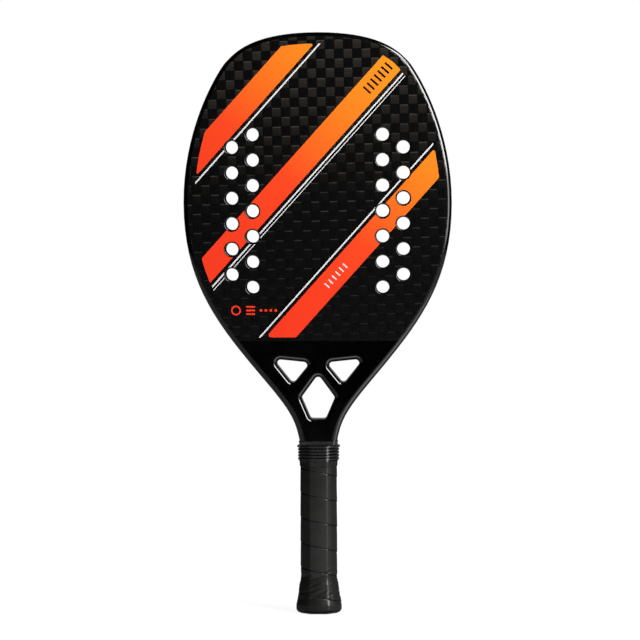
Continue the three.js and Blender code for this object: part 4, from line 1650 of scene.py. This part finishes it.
def studio_world():
    """White for the camera, a dark room with a dim pale wall for gloss, and faint soft light."""
    world = bpy.data.worlds.new("studio")
    world.use_nodes = True
    tree = world.node_tree
    seen, in_gloss = seen_by(tree)
    behind = axes(tree, put(tree, "ShaderNodeTexCoord").outputs["Generated"])["Y"]
    backdrop = ease(tree, behind, backdrop_start, backdrop_full, 0.0, backdrop_level)
    seen = work_out(tree, "MAXIMUM", seen, times(tree, in_gloss, backdrop))
    room = times(tree, work_out(tree, "SUBTRACT", 1.0, in_gloss), room_level)
    background = tree.nodes["Background"].inputs
    feed(tree, background["Strength"], work_out(tree, "MAXIMUM", seen, room))
    feed(tree, background["Color"], room_white)
    return world


def floor_finish():
    """A pale floor: part glow, so that it meets the white, and part paint for the shadow."""
    material, tree, surface = new_finish("studio_floor")
    mottle = spread(tree, grain(tree, mottle_scale))
    dress(tree, surface, blend(tree, mottle, *floor_colours), floor_roughness, 0.0)
    feed(tree, surface.inputs["Emission Color"], room_white)
    place = own_place(tree)
    # Painted light: a patch before the racket glows for gloss rays, as a lit reflector card would
    glow_patch = {"Vector": place, "Location": glow_patch_middle, "Scale": glow_patch_half_size}
    on_glow_patch = result(tree, "ShaderNodeMapping", glow_patch, vector_type="TEXTURE")
    from_glow_patch = vector_work(tree, "LENGTH", on_glow_patch)
    glow_patch = ease(tree, from_glow_patch, *glow_patch_edge, floor_gloss_share, glow_patch_level)
    seen, in_gloss = seen_by(tree)
    level = ease(tree, vector_work(tree, "LENGTH", place), *glow_reach, floor_glow, far_glow)
    glow = work_out(tree, "MAXIMUM", times(tree, in_gloss, glow_patch), times(tree, seen, level))
    feed(tree, surface.inputs["Emission Strength"], glow)
    return material


def studio_floor():
    """A round sheet under the racket."""
    shell = bmesh.new()
    bmesh.ops.create_circle(shell, cap_ends=True, radius=floor_radius, segments=floor_sides)
    mesh = bpy.data.meshes.new("studio_floor")
    shell.to_mesh(mesh)
    shell.free()
    mesh.materials.append(floor_finish())
    return link(bpy.data.objects.new("studio_floor", mesh))


bpy.context.scene.world = studio_world()
studio_floor()
print("Floor radius:", floor_radius, "m")

# %% Lamps
lamps = {
    "key": {"place": (1.7, -1.7, 1.3), "size": (1.0, 1.5), "power": 74},
    "top": {"place": (1.2, -0.9, 2.0), "size": (1.2, 0.4), "power": 26},
    "side": {"place": (1.75, -1.75, 0.3), "size": (1.0, 0.6), "power": 8},
    "back": {"place": (-1.7, 1.8, 0.8), "size": (1.0, 1.2), "power": 60, "mirrored": False},
}
lamp_aim = Vector((0, 0, 0.28))


def soft_lamp(name, place, size, power, mirrored=True):
    """A rectangular softbox that faces the racket."""
    light = bpy.data.lights.new(name, "AREA")
    light.shape = "RECTANGLE"
    light.size, light.size_y = size
    light.energy = power
    lamp = link(bpy.data.objects.new(name, light))
    lamp.location = place
    lamp.visible_camera = False
    lamp.visible_glossy = mirrored
    lamp.rotation_euler = (lamp_aim - Vector(place)).to_track_quat("-Z", "Y").to_euler()


for name, settings in lamps.items():
    soft_lamp(name, **settings)
bpy.context.scene.view_settings.view_transform = "Standard"
print("Lamps:", ", ".join(lamps))
